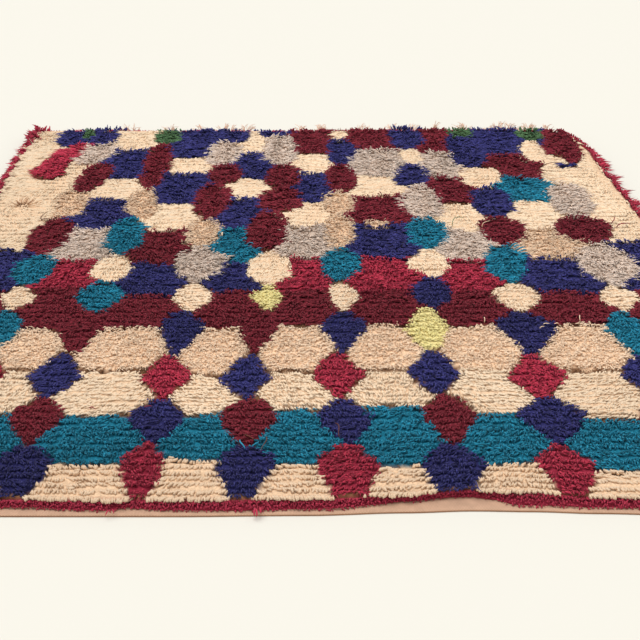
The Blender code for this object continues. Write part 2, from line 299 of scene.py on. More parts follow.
# The forms of the lozenges in each row of them from the near end, and of all beyond: where one
# is widest, as a share of its length, and how blunt its near and its far half are
LOZENGE_FORMS = (
    (0.62, 1.05, 1.65), (0.55, 1.15, 1.35), (0.46, 1.10, 1.10), (0.60, 1.10, 1.50),
    (0.50, 1.35, 1.35), (0.50, 1.80, 1.80), (0.50, 2.20, 2.20),
)
LIME_FORM = (0.50, 1.05, 1.05)
# How wide the crimson line along each side is, in knots
BORDER_KNOTS = 0.8
# How wide a bare brown line is left at the near rim of each cell beside a pale one, and of tan
# cells and far ones, in metres. Past its end only red cells have one, and among the first knots
# it is a share as wide.
OUTLINE_DEPTH, GROOVE_DEPTH = 0.005, 0.008
OUTLINE_END = 0.78
FIRST_KNOTS_END, FIRST_KNOTS_SHARE = 0.13, 0.3
# How far past the near rim of each cell the ground's brown shows between the knots
BROWN_REACH = 0.012
# Between these knots the tan and the cream band meet without a groove
CLOSED_GROOVE = (85, 98)

# How each yarn lies, first at the near end and then at the far end, where the pile is longer and
# wilder. Lengths are in mm and angles in degrees.
YARN_LAY = {
    # yarn: (height, (strands for each end, radius, reach, droop, scatter, sway) twice)
    "cream": (24.8, (1.90, 2.70, 12.5, 3.8, 22, 0.8), (2.60, 1.95, 29.0, 4.0, 7, 1.5)),
    "tan": (26.0, (3.00, 1.40, 13.5, 1.6, 48, 1.8), (2.60, 1.55, 21.0, 1.4, 38, 2.0)),
    "grey": (26.5, (2.60, 1.45, 24.0, 1.6, 22, 2.4), (2.45, 1.65, 28.0, 1.4, 26, 2.6)),
    "lime": (25.5, (2.80, 1.50, 13.0, 2.2, 28, 1.2), (2.40, 1.60, 18.0, 1.4, 20, 1.2)),
    "green": (25.5, (2.90, 1.50, 13.0, 2.2, 22, 1.0), (2.60, 1.55, 19.0, 1.4, 20, 1.2)),
    "teal": (26.0, (3.00, 1.55, 13.5, 2.2, 22, 1.4), (2.40, 1.70, 25.0, 1.4, 18, 1.6)),
    "indigo": (26.0, (2.95, 1.60, 13.5, 2.2, 22, 1.4), (2.35, 1.75, 25.0, 1.4, 18, 1.6)),
    "madder": (26.0, (2.95, 1.60, 13.5, 2.2, 22, 1.2), (2.35, 1.75, 25.0, 1.4, 18, 1.6)),
    "crimson": (26.0, (2.95, 1.60, 13.5, 2.2, 22, 1.2), (2.40, 1.75, 25.0, 1.4, 18, 1.6)),
}
YARNS = tuple(YARN_LAY)
CREAM, TAN, CRIMSON = (YARNS.index(name) for name in ("cream", "tan", "crimson"))
PALE = np.array([name in ("cream", "tan", "lime") for name in YARNS])
RED = np.array([name in ("madder", "crimson") for name in YARNS])
# How the cream of the second band lies, finer and softer than that of the first
BAND_LAY = (24.4, (2.80, 1.90, 19.0, 2.4, 10, 1.2), (2.80, 1.90, 19.0, 2.4, 10, 1.2))
# The brown wool of the ground that shows in a line at the near rims of cells
BROWN_LAY = (22.8, (2.00, 1.00, 8.0, 0.6, 40, 0.8), (2.00, 1.00, 8.0, 0.6, 40, 0.8))
# The imported wool between the knots: how much higher it lies than under the dyed yarns, in mm,
# and how light and how warm it is painted, which is painted shade deep between the knots
PACKED = {
    "cream": (2.2, 1.05, 0.05),
    "tan": (2.4, 0.90, 0.09),
    "grey": (2.0, 0.86, 0.04),
    "lime": (2.2, 0.90, 0.04),
}
PACKED_DYED = (0.4, 0.74, 0.0)
# How light the ground's own brown is painted at the rims of cells and before the first dyed knots:
# painted shade in the grooves, and painted shadow under the first dyed ends
GROUND_PAINTED_SHADE = {"rim": 0.7, "front": 0.95}
# How each yarn of the loose pile looks
YARN_LOOKS = {
    # yarn: (tone spread, how light the painted shade leaves the root, depth of the painted shade
    # between plies, how much paler its far copy is painted)
    "tan": (0.26, 0.42, 0.05, 1.00),
    "grey": (0.30, 0.16, 0.05, 1.02),
    "lime": (0.16, 0.30, 0.05, 1.00),
    "green": (0.28, 0.22, 0.05, 1.30),
    "teal": (0.46, 0.17, 0.06, 1.03),
    "indigo": (0.45, 0.17, 0.06, 1.22),
    "madder": (0.32, 0.19, 0.06, 1.03),
    "crimson": (0.45, 0.17, 0.06, 1.15),
}
# How much rougher the far tan looks: wider tones and deeper painted shade at its roots
FAR_TAN_ROUGH = 0.30

# Where each piece of pile is parted into a near and a far one, as a share of the length
PART_PLACE = 0.45
# Where the pile starts to get longer and wilder, and over how long a stretch, as such shares
WILD_START, WILD_REACH = 0.25, 0.45
# How the middle lines of strands bend, near and far
STRAND_BEND = (2.1, 1.35)
# How far the pile of a cell splays from its middle, near and far, as shares of its brushing
SPLAY_ACROSS, SPLAY_ALONG = (0.25, 0.95), (0.0, 1.1)
# The steepest brushing aside, in degrees: cream in its first band, in its second and beyond, and
# other yarns near and far
NEAT_BRUSH, LOOSE_BRUSH = (46, 62, 66), (34, 30)
# How far the ends of one knot turn aside together, near and far, in degrees
NEAT_FAN, LOOSE_FAN = (24, 18), (50, 46)
# How far in front of its knot an end falls, near and far, in metres
FALL = (0.010, 0.013)
# How far strands stray from the line of their row, near and far, in metres
RAGGED = {"cream": (0.0011, 0.0020), "tan": (0.0058, 0.0040), "grey": (0.0035, 0.0035)}
RAGGED_DYED = (0.0026, 0.0022)
# Where the pile whirls: place from the loom's middle and near edge, and its reach, and how far
# its bare middle goes across and along, in metres
WHORL = (-0.676, 1.175, 0.048)
WHORL_HEART = (0.011, 0.017)
# How far in from the side rims strands turn outward, and from the far end any way, in metres, and
# how far they turn at the rims, in degrees
RIM_DEPTH, END_DEPTH = 0.022, 0.016
RIM_TURN = 50
# How far single rows of ends swing aside, and how far round the whorl its ends lie, in degrees
ROW_SWING, WHIRL_TURN = 14, 75
# The cream pile and that of other yarns: how unevenly it stands and reaches, as shares, how much
# higher it is at the far end, in mm, how far its ends turn upright, and how far shades differ
NEAT_PILE = {"uneven": 0.03, "uneven_reach": 0.07, "far_rise": -0.6, "upright": 0.5, "shades": 0.12}
LOOSE_PILE = {"uneven": 0.05, "uneven_reach": 0.18, "far_rise": 1.4, "upright": 1.0, "shades": 0.24}
# Single ends that stand out of the wild pile: their share, how much higher they are, in mm, and
# how far they reach, as a share
SPIKE_SHARE, SPIKE_RISE, SPIKE_REACH = 0.10, 4.5, 0.7
# How deep the first knots are along the cloth, and how many more strands they have, as a share
FIRST_DEPTH, FIRST_MORE = 0.010, 0.6
# How far ends stray across, in their pitches: in the first band and elsewhere
BEAD_STRAY, LOOSE_STRAY = 0.25, 0.60
# How far those of the second band and of the brown lines also stray along, in metres
BAND_STRAY = 0.0022
# How much lower the first line of ends in a row lies, and near ends where yarns meet, in mm
LINE_DROP, EDGE_DROP = 0.7, 0.6
# The least height of a strand over its root
LEAST_RISE = 0.003
# A stripe where all yarns but cream are paler: its place and its reach along the cloth, and how
# much paler indigo and the others are there, from 0 to 1
PALER_PLACE, PALER_REACH = 0.36, 0.13
PALER_INDIGO, PALER_OTHERS = 0.45, 0.28
# How much darker the pile is painted in the whorl: painted shade where it parts
WHORL_PAINTED_SHADE = 0.8
# The steady random numbers that each knot, bunch of warp ends or tuft of locks has
KNOT_FAN, KNOT_LIFT, KNOT_SHADE, KNOT_UPRIGHT = 1, 2, 3, 4
BUNCH_LEAN, TUFT_TURN, TUFT_REACH, TUFT_RISE = 5, 6, 7, 8

# Where the rings of a strand sit along it, from root to tip, and how wide they are
BLUNT_PLACES, BLUNT_WIDTHS = (0.0, 0.42, 0.88, 1.0), (1.00, 0.92)
POINTED_PLACES, POINTED_WIDTHS = (0.0, 0.56, 1.0), (1.0,)
TUFT_WIDTHS = (1.0, 0.55)
STRAY_PLACES = tuple(np.linspace(0.0, 1.0, 9))
STRAY_WIDTHS = (0.9, 1.0, 1.0, 1.0, 0.95, 0.85, 0.65)
FRINGE_PLACES = (0.0, 0.18, 0.38, 0.58, 0.78, 0.92, 1.0)
FRINGE_WIDTHS = (1.0, 1.0, 0.95, 0.85, 0.6)

# Yarn ends: pitch across, ends in a knot, and for each kind of pile the pitch of the rows of
# knots and where the lines of ends sit in a row
END_PITCH = 0.0050
KNOT_ENDS = 3
ROW_PITCH = 0.0206
BEAD_ROWS = (0.0158, (-0.0020,))
BAND_ROWS = (0.0112, (0.0045,))
BROWN_ROWS = (0.0050, (0.0025,))
LOOSE_ROWS = (ROW_PITCH, (0.0065, 0.0130))
ROW_WAVER = 0.0030
# Where the knots start, and where the second band of the cream does
FIELD_START, BAND_START = 0.0110, 0.215
# How far the first dyed ends lean out over the first row
DYED_FRONT = 0.0120

# Heights of the pile's roots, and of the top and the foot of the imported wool
ROOT_HEIGHT = 0.0165
BED_HEIGHT, BED_FOOT = 0.0195, 0.0034
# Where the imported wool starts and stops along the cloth, and its pitch across
BED_START, BED_STOP = -0.009, PILE_LENGTH - 0.001
BED_PITCH = 0.0110
# How much lower it is between rows and where yarns meet, and how far it is uneven
BED_DIP, BED_SEAM, BED_UNEVEN = 0.0020, 0.0030, 0.0008
# How far the cells of the pile lie before their knots
BED_FALL = 0.003
# Its height under the first row, how much lower its near edge is there, and its least height
LOW_BED, LOW_BED_FALL, LEAST_BED = 0.0090, 0.0043, 0.0045

# The woven ground: points across it and along its near hem, its field and its far hem
GROUND_COLUMNS = 181
GROUND_ROWS = (12, 24, 10)
# The pitches of its warp and its weft, how far its ribs stand out, and how thin its edges are
WARP_PITCH, WEFT_PITCH = 0.0046, 0.0034
GROUND_RIB = 0.0003
GROUND_EDGE = 0.72

# Strands in each row or rim, the share of the right rim, and the pitch of the side tufts
FIRST_ROW_STRANDS = 5000
LAST_ROW_STRANDS = 1500
SIDE_STRANDS = 4400
RIGHT_SHARE = 0.40
SIDE_TUFT_PITCH = 0.0130
# How long the stretches are in which far locks stand out more and less, at the left and the right
LEFT_CLUMP, RIGHT_CLUMP = 0.058, 0.043
# How far locks turn outward, how much less at the far right, how far tufts of them turn, and
# single ones, and how much further at the far left corner, in degrees
LOCK_TURN, LOCK_TURN_LESS, TUFT_SPREAD, LOCK_SCATTER, CORNER_TURN = 60, 30, 30, 14, 40
# Warp ends of the fringe, the bunches they lean in, and the share of them in its groups
FRINGE_STRANDS = 680
FRINGE_BUNCHES = 118
FRINGE_GROUPED = 0.60

# Each strand takes one of these many shades of its yarn
SHADE_STEPS = 12
# Painted shade on wool is warmer where it is darker: powers of that shade for red, green and blue
SHADE_POWERS = (0.80, 1.05, 1.30)
SEED = 7

# Half the floor's width, and how far it lies below the cloth
FLOOR_HALF = 12.0
FLOOR_DROP = 0.0002
# Where the lamp hangs over the middle, how broad it looks from there, and what light it gives
LAMP_PLACE = (-0.7, 0.3, 2.4)
LAMP_SPREAD = radians(55)
LAMP_COLOUR, SKY_COLOUR = (1.0, 0.985, 0.96), (1.0, 0.99, 0.965, 1.0)
# Width of the camera's sensor, in mm
SENSOR_WIDTH = 36.0


def from_screen(red, green, blue):
    """A screen colour from 0 to 255 as the linear colour that shaders take."""
    shares = [value / 255 for value in (red, green, blue)]
    return tuple(s / 12.92 if s <= 0.04045 else ((s + 0.055) / 1.055) ** 2.4 for s in shares)


def colour_property(name, description, colour):
    """A colour that a user can change, given as it looks on screen."""
    return FloatVectorProperty(
        name=name, description=description, default=from_screen(*colour),
        size=3, min=0.0, max=1.0, subtype="COLOR",
    )


def number_property(name, description, default, low, high, **kind):
    """A number that a user can change between two limits."""
    return FloatProperty(
        name=name, description=description, default=default, min=low, max=high, **kind)


class RugSizes(PropertyGroup):
    """Sizes of the cloth that a weaver would choose."""

    pile_scale: number_property(
        "Pile height", "Height of the pile as a share of its own", 1.0, 0.6, 1.15,
        subtype="FACTOR")
    ground_thickness: number_property(
        "Ground thickness", "Thickness of the woven ground", 0.0032, 0.002, 0.006, unit="LENGTH")


class YarnColours(PropertyGroup):
    """Dyed and undyed wool colours."""

    cream: colour_property("Cream", "Undyed pale wool", (230, 201, 171))
    band: colour_property("Band cream", "Undyed wool of the second band", (240, 215, 186))
    # Painted light: the far cream is a paler copy of the cream, for the haze over the far pile
    pale: colour_property("Pale cream", "Undyed wool at the far end, paler still", (242, 217, 187))
    tan: colour_property("Tan", "Undyed wool, a little darker and pinker", (255, 225, 195))
    grey: colour_property("Grey", "Undyed grey wool", (230, 211, 197))
    lime: colour_property("Lime", "Pale yellow-green wool", (251, 238, 170))
    green: colour_property("Green", "Dark green wool", (84, 116, 80))
    teal: colour_property("Teal", "Blue-green wool", (37, 137, 168))
    indigo: colour_property("Indigo", "Dark blue wool", (56, 56, 116))
    madder: colour_property("Madder", "Dark red wool", (134, 43, 57))
    crimson: colour_property("Crimson", "Bright red wool", (182, 55, 79))
    weft: colour_property("Weft", "Brown wool of the ground", (150, 108, 78))
    thread: colour_property("Thread", "Dark brown sewing thread", (104, 58, 42))
    hem: colour_property("Hem", "Salmon wool of the hems", (212, 171, 143))
    warp: colour_property("Warp ends", "Pale wool of the fringe", (240, 208, 186))


class StageLooks(PropertyGroup):
    """Floor, light and camera."""

    floor: colour_property("Floor", "Plain pale floor", (224, 222, 214))
    key_strength: number_property(
        "Key light", "Strength of the broad soft light overhead", 1.95, 0.0, 20.0)
    sky_strength: number_property(
        "Sky light", "Strength of the even light from all round", 0.72, 0.0, 4.0)
    lens: number_property(
        "Lens", "Focal length on a 36 mm wide sensor", 74.98, 20.0, 300.0, unit="CAMERA")
    eye_height: number_property(
        "Camera height", "Height of the camera above the floor", 1.211, 0.2, 5.0, unit="LENGTH")
    eye_distance: number_property(
        "Camera distance", "Distance along the floor from the camera to the hem",
        1.6805, 0.2, 10.0, unit="LENGTH")
    eye_across: number_property(
        "Camera across", "How far right of the cloth's middle the camera stands",
        0.0145, -2.0, 2.0, unit="LENGTH")
    pitch: number_property(
        "Camera pitch", "How far the camera looks down", radians(27.367), 0.0, pi / 2,
        subtype="ANGLE")


def held(share):
    """A share that stays between 0 and 1."""
    return np.clip(share, 0.0, 1.0)


def smooth(share):
    """A share that starts and ends gently."""
    return share * share * (3.0 - 2.0 * share)


def eased(table, column, places):
    """Read one column of a table at each place, easing from row to row."""
    stops = np.array([row[0] for row in table])
    values = np.array([row[column] for row in table]) / 1000.0
    places = np.clip(places, stops[0], stops[-1])
    low = np.clip(np.searchsorted(stops, places, side="right") - 1, 0, len(stops) - 2)
    share = smooth((places - stops[low]) / (stops[low + 1] - stops[low]))
    return values[low] + (values[low + 1] - values[low]) * share


def loom_position(across, along):
    """Where a point of the cloth lies, measured from the loom's own middle and near pile edge."""
    side_place = held(along / PILE_LENGTH)
    left = -RUG_WIDTH / 2 - eased(SIDE_OUTLINE, 1, side_place)
    right = RUG_WIDTH / 2 + eased(SIDE_OUTLINE, 2, side_place)
    x = left + (right - left) * across
    hem_pull = eased(NEAR_OUTLINE, 1, across)
    pile_pull = eased(NEAR_OUTLINE, 2, across)
    fade = held(1.0 - along / NEAR_OUTLINE_FADE)
    hem_share = held(-along / NEAR_HEM_DEPTH)
    near_pull = pile_pull * fade * fade * (1.0 - hem_share) + hem_pull * hem_share
    far_fade = held(1.0 - (PILE_LENGTH - along) / FAR_OUTLINE_FADE)
    y = along + near_pull + eased(FAR_OUTLINE, 1, across) * far_fade
    return x, y


def loom_shift():
    """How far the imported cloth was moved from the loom's own middle, read from its near corners."""
    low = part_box("rug")[0]
    hem = [v.co.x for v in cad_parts["rug"].data.vertices if v.co.y < low.y + 0.0001]
    corner = loom_position(np.array([0.0]), np.array([-NEAR_HEM_DEPTH]))[0][0]
    return min(hem) - corner, low.y + NEAR_HEM_DEPTH


SHIFT_X, SHIFT_Y = loom_shift()


def wave(x, y, turn):
    """A smooth uneven swing from about -1 to 1."""
    return (np.sin(1.00 * x + 0.37 * y + turn) + np.sin(0.43 * x - 0.91 * y + 2.1 * turn)
            + 0.7 * np.sin(1.71 * x + 1.27 * y + 3.7 * turn)) / 2.2


def between_ends(pair, mix):
    """A value between its near and its far one."""
    return pair[0] + (pair[1] - pair[0]) * mix


def paint_cell(yarn, offset, knots, rows, cell, form=LOZENGE_FORMS[-1]):
    """Lay one lozenge over the yarns chosen so far. Its ends are pinched and its belly is blunt.

    offset is how far each place lies from the middle of its cell, across and along, from -1 to 1.
    """
    bottom, top, name, middle, half, slant = cell
    share = (rows - bottom) / (top - bottom)
    pinch = between_ends(PINCH, held(rows / CHART_ROWS) ** 2)
    peak, near_blunt, far_blunt = form
    before, after = share / peak * near_blunt, (1.0 - share) / (1.0 - peak) * far_blunt
    belly = held(np.minimum(before, after))
    middle = middle + slant * (share - 0.5)
    reach = half * (pinch + (1.0 - pinch) * belly)
    inside = (share > 0) & (share <= 1) & (np.abs(knots - middle) < reach)
    offset = np.where(inside, np.stack([(knots - middle) / half, 2 * share - 1]), offset)
    return np.where(inside, YARNS.index(name), yarn), offset


def chart_yarn(knots, rows, across):
    """The yarn, as its place in YARNS, at these knots and rows of the chart, and the offset."""
    k = knots + 0.35 * wave(knots * 0.55, rows * 0.62, 1.3)
    r = rows + 0.35 * wave(knots * 0.45, rows * 0.50, 4.2)
    yarn = np.full(k.shape, CREAM)
    middles = []
    for column in LOZENGE_COLUMNS:
        tops = [cell[0] for cell in column]
        place = np.clip(np.searchsorted(tops, r), 0, len(column) - 1)
        middles.append(np.array([cell[2] for cell in column])[place])
    middles = np.array(middles)
    span = (k[None, :] > middles).sum(axis=0)
    stops = np.concatenate([np.zeros((1, k.size)), middles, np.full((1, k.size), CHART_KNOTS)])
    left = np.take_along_axis(stops, span[None, :], axis=0)[0]
    right = np.take_along_axis(stops, span[None, :] + 1, axis=0)[0]
    aside, ahead = 2 * (k - left) / (right - left) - 1, np.zeros(k.shape)
    for number, cells in enumerate(BETWEEN_CELLS):
        names = np.array([YARNS.index(name) for top, name in cells])
        tops = np.array([0] + [top for top, name in cells])
        place = np.clip(np.searchsorted(tops[1:], r), 0, len(cells) - 1)
        yarn = np.where(span == number, names[place], yarn)
        share = (r - tops[place]) / (tops[place + 1] - tops[place])
        ahead = np.where(span == number, 2 * share - 1, ahead)
    offset = np.stack([aside, ahead])
    for column in LOZENGE_COLUMNS:
        bottom = 0
        for number, (top, name, middle, half) in enumerate(column):
            form = LOZENGE_FORMS[min(number, len(LOZENGE_FORMS) - 1)]
            if name:
                cell = (bottom, top, name, middle, half, 0)
                form = LIME_FORM if name == "lime" else form
                yarn, offset = paint_cell(yarn, offset, k, r, cell, form)
            bottom = top
    for cell in ODD_CELLS:
        yarn, offset = paint_cell(yarn, offset, k, r, cell)
    inset = np.minimum(across, 1.0 - across) * CHART_KNOTS
    return np.where(inset < BORDER_KNOTS, CRIMSON, yarn), offset


def chart_place(x, y):
    """Knots and rows of the chart at these places from the loom's middle."""
    return CHART_KNOTS * (x / RUG_WIDTH + 0.5), (y + CHART_START) / CHART_ROW_PITCH


def chart_across(knots):
    """How far right of the loom's middle these knots of the chart are."""
    return (knots / CHART_KNOTS - 0.5) * RUG_WIDTH


def charted(x, y, across):
    """The yarn at each place, whether another yarn lies close beside it, and the offset."""
    knots, rows = chart_place(x, y)
    yarn, offset = chart_yarn(knots, rows, across)
    edge = np.zeros(yarn.shape, bool)
    for step_k, step_r in ((0.5, 0), (-0.5, 0), (0, 0.5), (0, -0.5)):
        edge |= chart_yarn(knots + step_k, rows + step_r, across)[0] != yarn
    return yarn, edge, offset


def bare_rim(yarn, x, y, across, depth):
    """Whether each place is at the near rim of its cell where the ground's brown line shows."""
    knots, rows = chart_place(x, y - depth)
    before = chart_yarn(knots, rows, across)[0]
    closed = (knots > CLOSED_GROOVE[0]) & (knots < CLOSED_GROOVE[1]) & PALE[yarn] & PALE[before]
    shown = (y < OUTLINE_END) | (RED[yarn] & (before == CREAM))
    return (before != yarn) & (PALE[yarn] | PALE[before]) & ~closed & shown


def yarn_ends(row_pitch, lines, start, stop):
    """Every yarn end between two places along: where it is, how it lies, its knot and its yarn."""
    columns = round(RUG_WIDTH / END_PITCH)
    first = round((start - FIELD_START) / row_pitch)
    rows = np.arange(first, int((stop - FIELD_START) / row_pitch))
    grid = np.meshgrid(np.arange(columns), rows, np.arange(len(lines)), indexing="ij")
    column, row, line = (places.ravel() for places in grid)
    across = (column + 0.5) / columns
    along = FIELD_START + row * row_pitch + np.array(lines)[line]
    x, y = loom_position(across, along)
    waver = ROW_WAVER * wave(x * 41, along * 131, 5.1)
    knot = (column // KNOT_ENDS) * 1000 + row
    mix = wildness(along / PILE_LENGTH)
    fall = between_ends(FALL, mix)
    yarn, offset = chart_yarn(*chart_place(x, y + waver - fall / 2), across)
    neat = yarn == CREAM
    neat_brush = np.interp(along, (BAND_START - 0.07, BAND_START + 0.04, 1.0), NEAT_BRUSH)
    lay = lay_heading(x, y, np.where(neat, neat_brush, between_ends(LOOSE_BRUSH, mix)))
    fan = np.where(neat, between_ends(NEAT_FAN, mix), between_ends(LOOSE_FAN, mix))
    lay = lay + np.radians(2 * fan * (knot_share(knot, KNOT_FAN) - 0.5))
    back = between_ends(SPLAY_ALONG, mix)
    back = np.where(neat, 0.3, 1.0) * back * np.clip(offset[1], -0.5, 1.0) ** 3
    east = np.sin(lay) + np.where(neat, 0.5, 1.0) * between_ends(SPLAY_ACROSS, mix) * offset[0]
    north = back - np.cos(lay)
    lay = np.arctan2(east, -north)
    lean = np.clip(np.hypot(east, north), 0.35, 1.1)
    fall = fall * lean
    tip_x, tip_y = x + fall * np.sin(lay), y + waver - fall * np.cos(lay)
    yarn, edge, offset = charted(tip_x, tip_y, across)
    depth = np.where((yarn == TAN) | (tip_y > OUTLINE_END), GROOVE_DEPTH, OUTLINE_DEPTH)
    depth = np.where(tip_y < FIRST_KNOTS_END, FIRST_KNOTS_SHARE * depth, depth)
    bare = bare_rim(yarn, tip_x, tip_y, across, depth) | whorl_heart(x, y)
    yarn = np.where(bare, -1, yarn)
    upright = mix * held((offset[1] - 0.45) / 0.45)
    return {
        "x": x, "y": y + waver, "across": across, "along": along, "line": line, "lay": lay,
        "lean": lean, "upright": upright, "yarn": yarn, "edge": edge, "knot": knot,
    }


def wildness(far):
    """How far the pile has changed from its near look to its far look."""
    return smooth(held((far - WILD_START) / WILD_REACH))


def lay_heading(x, y, brush):
    """Which way the pile is brushed, as an angle from straight towards the near end.

    brush is how far it goes aside, in degrees. Patches of pile go all one way.
    """
    heading = np.radians(brush) * np.tanh(2.6 * wave(x * 13, y * 11, 2.2))
    heading = heading + radians(ROW_SWING) * wave(x * 30, y * 230, 0.9)
    whirl = np.arctan2(x - WHORL[0], WHORL[1] - y) + radians(WHIRL_TURN)
    pull = whorl_pull(x, y)
    return heading * (1 - pull) + whirl * pull


def whorl_pull(x, y):
    """How much of the whorl each place feels."""
    return np.exp(-((x - WHORL[0]) ** 2 + (y - WHORL[1]) ** 2) / WHORL[2] ** 2)


def whorl_heart(x, y):
    """Whether each place is in the bare middle of the whorl."""
    return np.hypot((x - WHORL[0]) / WHORL_HEART[0], (y - WHORL[1]) / WHORL_HEART[1]) < 1.0


def knot_share(knot, kind):
    """A steady random number for each knot, so that the ends of one knot fall together."""
    value = np.sin(knot * 12.9898 + kind * 78.233) * 43758.5453
    return value - np.floor(value)


def pile_share(across, along, x, y):
    """How much of the full pile height each place has: less at the rims and the first rows."""
    inset = np.minimum(across, 1.0 - across) * RUG_WIDTH
    rim = 0.62 + 0.38 * held(inset / 0.020)
    near = 0.80 + 0.20 * held((along - FIELD_START) / 0.028)
    far = 0.86 + 0.14 * held((PILE_LENGTH - along) / 0.015)
    swell = 1.0 + 0.045 * wave(x * 23, y * 19, 0.6)
    return rim * near * far * swell


def strand_points(root, heading, rise, reach, droop, sway, places, bend=2.2):
    """Centre lines: each strand stands up from its root, bends over and droops at its tip.

    root is measured from the loom's middle and near edge. bend is 1 for a straight strand and
    more for one that rises steeply and then lies level.
    """
    t = np.array(places)[None, :]
    bend = np.broadcast_to(bend, len(heading))[:, None]
    high = np.broadcast_to(root[2], len(heading))[:, None]
    ahead = reach[:, None] * t ** (0.5 + 0.45 * bend)
    up = rise[:, None] * (1.0 - (1.0 - t) ** bend) - droop[:, None] * t ** 4
    aside = sway[0][:, None] * np.sin(sway[1][:, None] + 5.0 * t) * t
    east, north = np.sin(heading)[:, None], -np.cos(heading)[:, None]
    return np.stack([
        (root[0] + SHIFT_X)[:, None] + east * ahead - north * aside,
        (root[1] + SHIFT_Y)[:, None] + north * ahead + east * aside,
        high + up,
    ], axis=2)


def finish_mesh(mesh, maps):
    """Lay the parts of a map over the faces of a mesh, and smooth its shading."""
    flat = np.concatenate([part.reshape(-1) for part in maps]).astype(np.float32)
    mesh.uv_layers.new(name="OFBake").data.foreach_set("uv", flat)
    mesh.update()
    mesh.validate()
    mesh.shade_smooth()


def strand_mesh(name, points, radius, shares, sides, shade, places):
    """Join tapered strands into one mesh. Each is closed, pointed at its root and its tip.

    points has a row of centre points for each strand, shares the width of each inner point.
    The map goes round a strand across its shade's stripe, and along the strand upwards.
    """
    count, stations = points.shape[0], points.shape[1]
    rings = stations - 2
    ahead = points[:, 2:] - points[:, :-2]
    ahead /= np.linalg.norm(ahead, axis=2, keepdims=True)
    level = np.stack([-ahead[:, :, 1], ahead[:, :, 0], np.zeros(ahead.shape[:2])], axis=2)
    level /= np.linalg.norm(level, axis=2, keepdims=True) + 1e-9
    upper = np.cross(ahead, level)
    turn = 2 * pi * np.arange(sides) / sides + (pi / 2 if sides == 3 else pi / 4)
    width = radius[:, None, None, None] * np.array(shares)[None, :, None, None]
    ring = points[:, 1:-1, None, :] + width * (
        level[:, :, None, :] * np.cos(turn)[None, None, :, None]
        + upper[:, :, None, :] * np.sin(turn)[None, None, :, None])
    verts = np.concatenate(
        [points[:, :1], ring.reshape(count, rings * sides, 3), points[:, -1:]], axis=1)
    per = 2 + rings * sides
    last = 1 + (rings - 1) * sides
    ends, end_maps, walls, wall_maps = [], [], [], []
    for k in range(sides):
        after = (k + 1) % sides
        ends += [(0, 1 + after, 1 + k), (last + k, last + after, per - 1)]
        end_maps += [((k + 0.5, 0), (k + 1, 1), (k, 1)),
                     ((k, rings), (k + 1, rings), (k + 0.5, rings + 1))]
    for j in range(rings - 1):
        for k in range(sides):
            after = (k + 1) % sides
            low, high = 1 + j * sides, 1 + (j + 1) * sides
            walls.append((low + k, low + after, high + after, high + k))
            wall_maps.append(((k, j + 1), (k + 1, j + 1), (k + 1, j + 2), (k, j + 2)))
    first = (np.arange(count) * per)[:, None, None]
    tri = (np.array(ends)[None] + first).reshape(-1, 3)
    quad = (np.array(walls)[None] + first).reshape(-1, 4)
    loops = np.concatenate([tri.ravel(), quad.ravel()])
    sizes = np.concatenate([np.full(len(tri), 3), np.full(len(quad), 4)])
    mesh = bpy.data.meshes.new(name)
    mesh.vertices.add(count * per)
    mesh.vertices.foreach_set("co", verts.astype(np.float32).ravel())
    mesh.loops.add(len(loops))
    mesh.loops.foreach_set("vertex_index", loops.astype(np.int32))
    mesh.polygons.add(len(sizes))
    mesh.polygons.foreach_set("loop_start", (np.cumsum(sizes) - sizes).astype(np.int32))
    mesh.polygons.foreach_set("loop_total", sizes.astype(np.int32))
    maps = []
    for table in (end_maps, wall_maps):
        table = np.array(table, float).reshape(-1, 2)
        u = (shade[:, None] + 0.04 + 0.92 * table[None, :, 0] / sides) / SHADE_STEPS
        v = np.array(places)[table[:, 1].astype(int)]
        v = np.broadcast_to(0.01 + 0.98 * v[None, :], u.shape)
        maps.append(np.stack([u, v], axis=2))
    finish_mesh(mesh, maps)
    return mesh


def add_to_scene(name, data):
    """A new object of the scene."""
    item = bpy.data.objects.new(name, data)
    bpy.context.scene.collection.objects.link(item)
    return item


def link_piece(name, mesh, material, slot="pile_wool", node="rug"):
    """Add a mesh to the scene as a piece that rides on the cloth and stands for its solid."""
    mesh.materials.append(material)
    piece = add_to_scene(name, mesh)
    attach(piece, "root")
    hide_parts(node)
    return piece


def loose_strands(name, material, rng, root, heading, rise, reach, droop, sway, thick, stout=1.0,
                  places=POINTED_PLACES, widths=POINTED_WIDTHS, sides=3, bend=2.2, darkest=0,
                  **standing):
    """Add a piece of loose strands that sway and differ in shade and thickness.

    thick is the least and the greatest radius, stout makes single strands thicker, and darkest
    is the lowest shade.
    """
    count = len(heading)
    sways = rng.normal(0, sway, count), rng.uniform(0, 2 * pi, count)
    points = strand_points(root, heading, rise, reach, droop, sways, places, bend)
    shade = rng.integers(darkest, SHADE_STEPS, count)
    radius = rng.uniform(*thick, count) * stout
    mesh = strand_mesh(name, points, radius, widths, sides, shade, places)
    link_piece(name, mesh, material, **standing)


def feed(tree, socket, value):
    """Link a socket to the value where that is a socket too, or else set it."""
    if isinstance(value, bpy.types.NodeSocket):
        tree.links.new(value, socket)
    else:
        socket.default_value = value


def add_node(tree, kind, inputs=(), **settings):
    """Add a shader node with these settings, and feed its inputs."""
    node = tree.nodes.new("ShaderNode" + kind)
    for name, value in settings.items():
        setattr(node, name, value)
    for name, value in dict(inputs).items():
        feed(tree, node.inputs[name], value)
    return node


def maths(tree, operation, *values):
    """The result of a maths node that takes sockets or numbers."""
    return add_node(tree, "Math", enumerate(values), operation=operation).outputs[0]


def matt_material(name, roughness, specular, sheen=0.0):
    """A new matt material, with its tree and its shader."""
    material = bpy.data.materials.new(name)
    material.use_nodes = True
    shader = material.node_tree.nodes["Principled BSDF"]
    shader.inputs["Roughness"].default_value = roughness
    shader.inputs["Specular IOR Level"].default_value = specular
    shader.inputs["Sheen Weight"].default_value = sheen
    return material, material.node_tree, shader


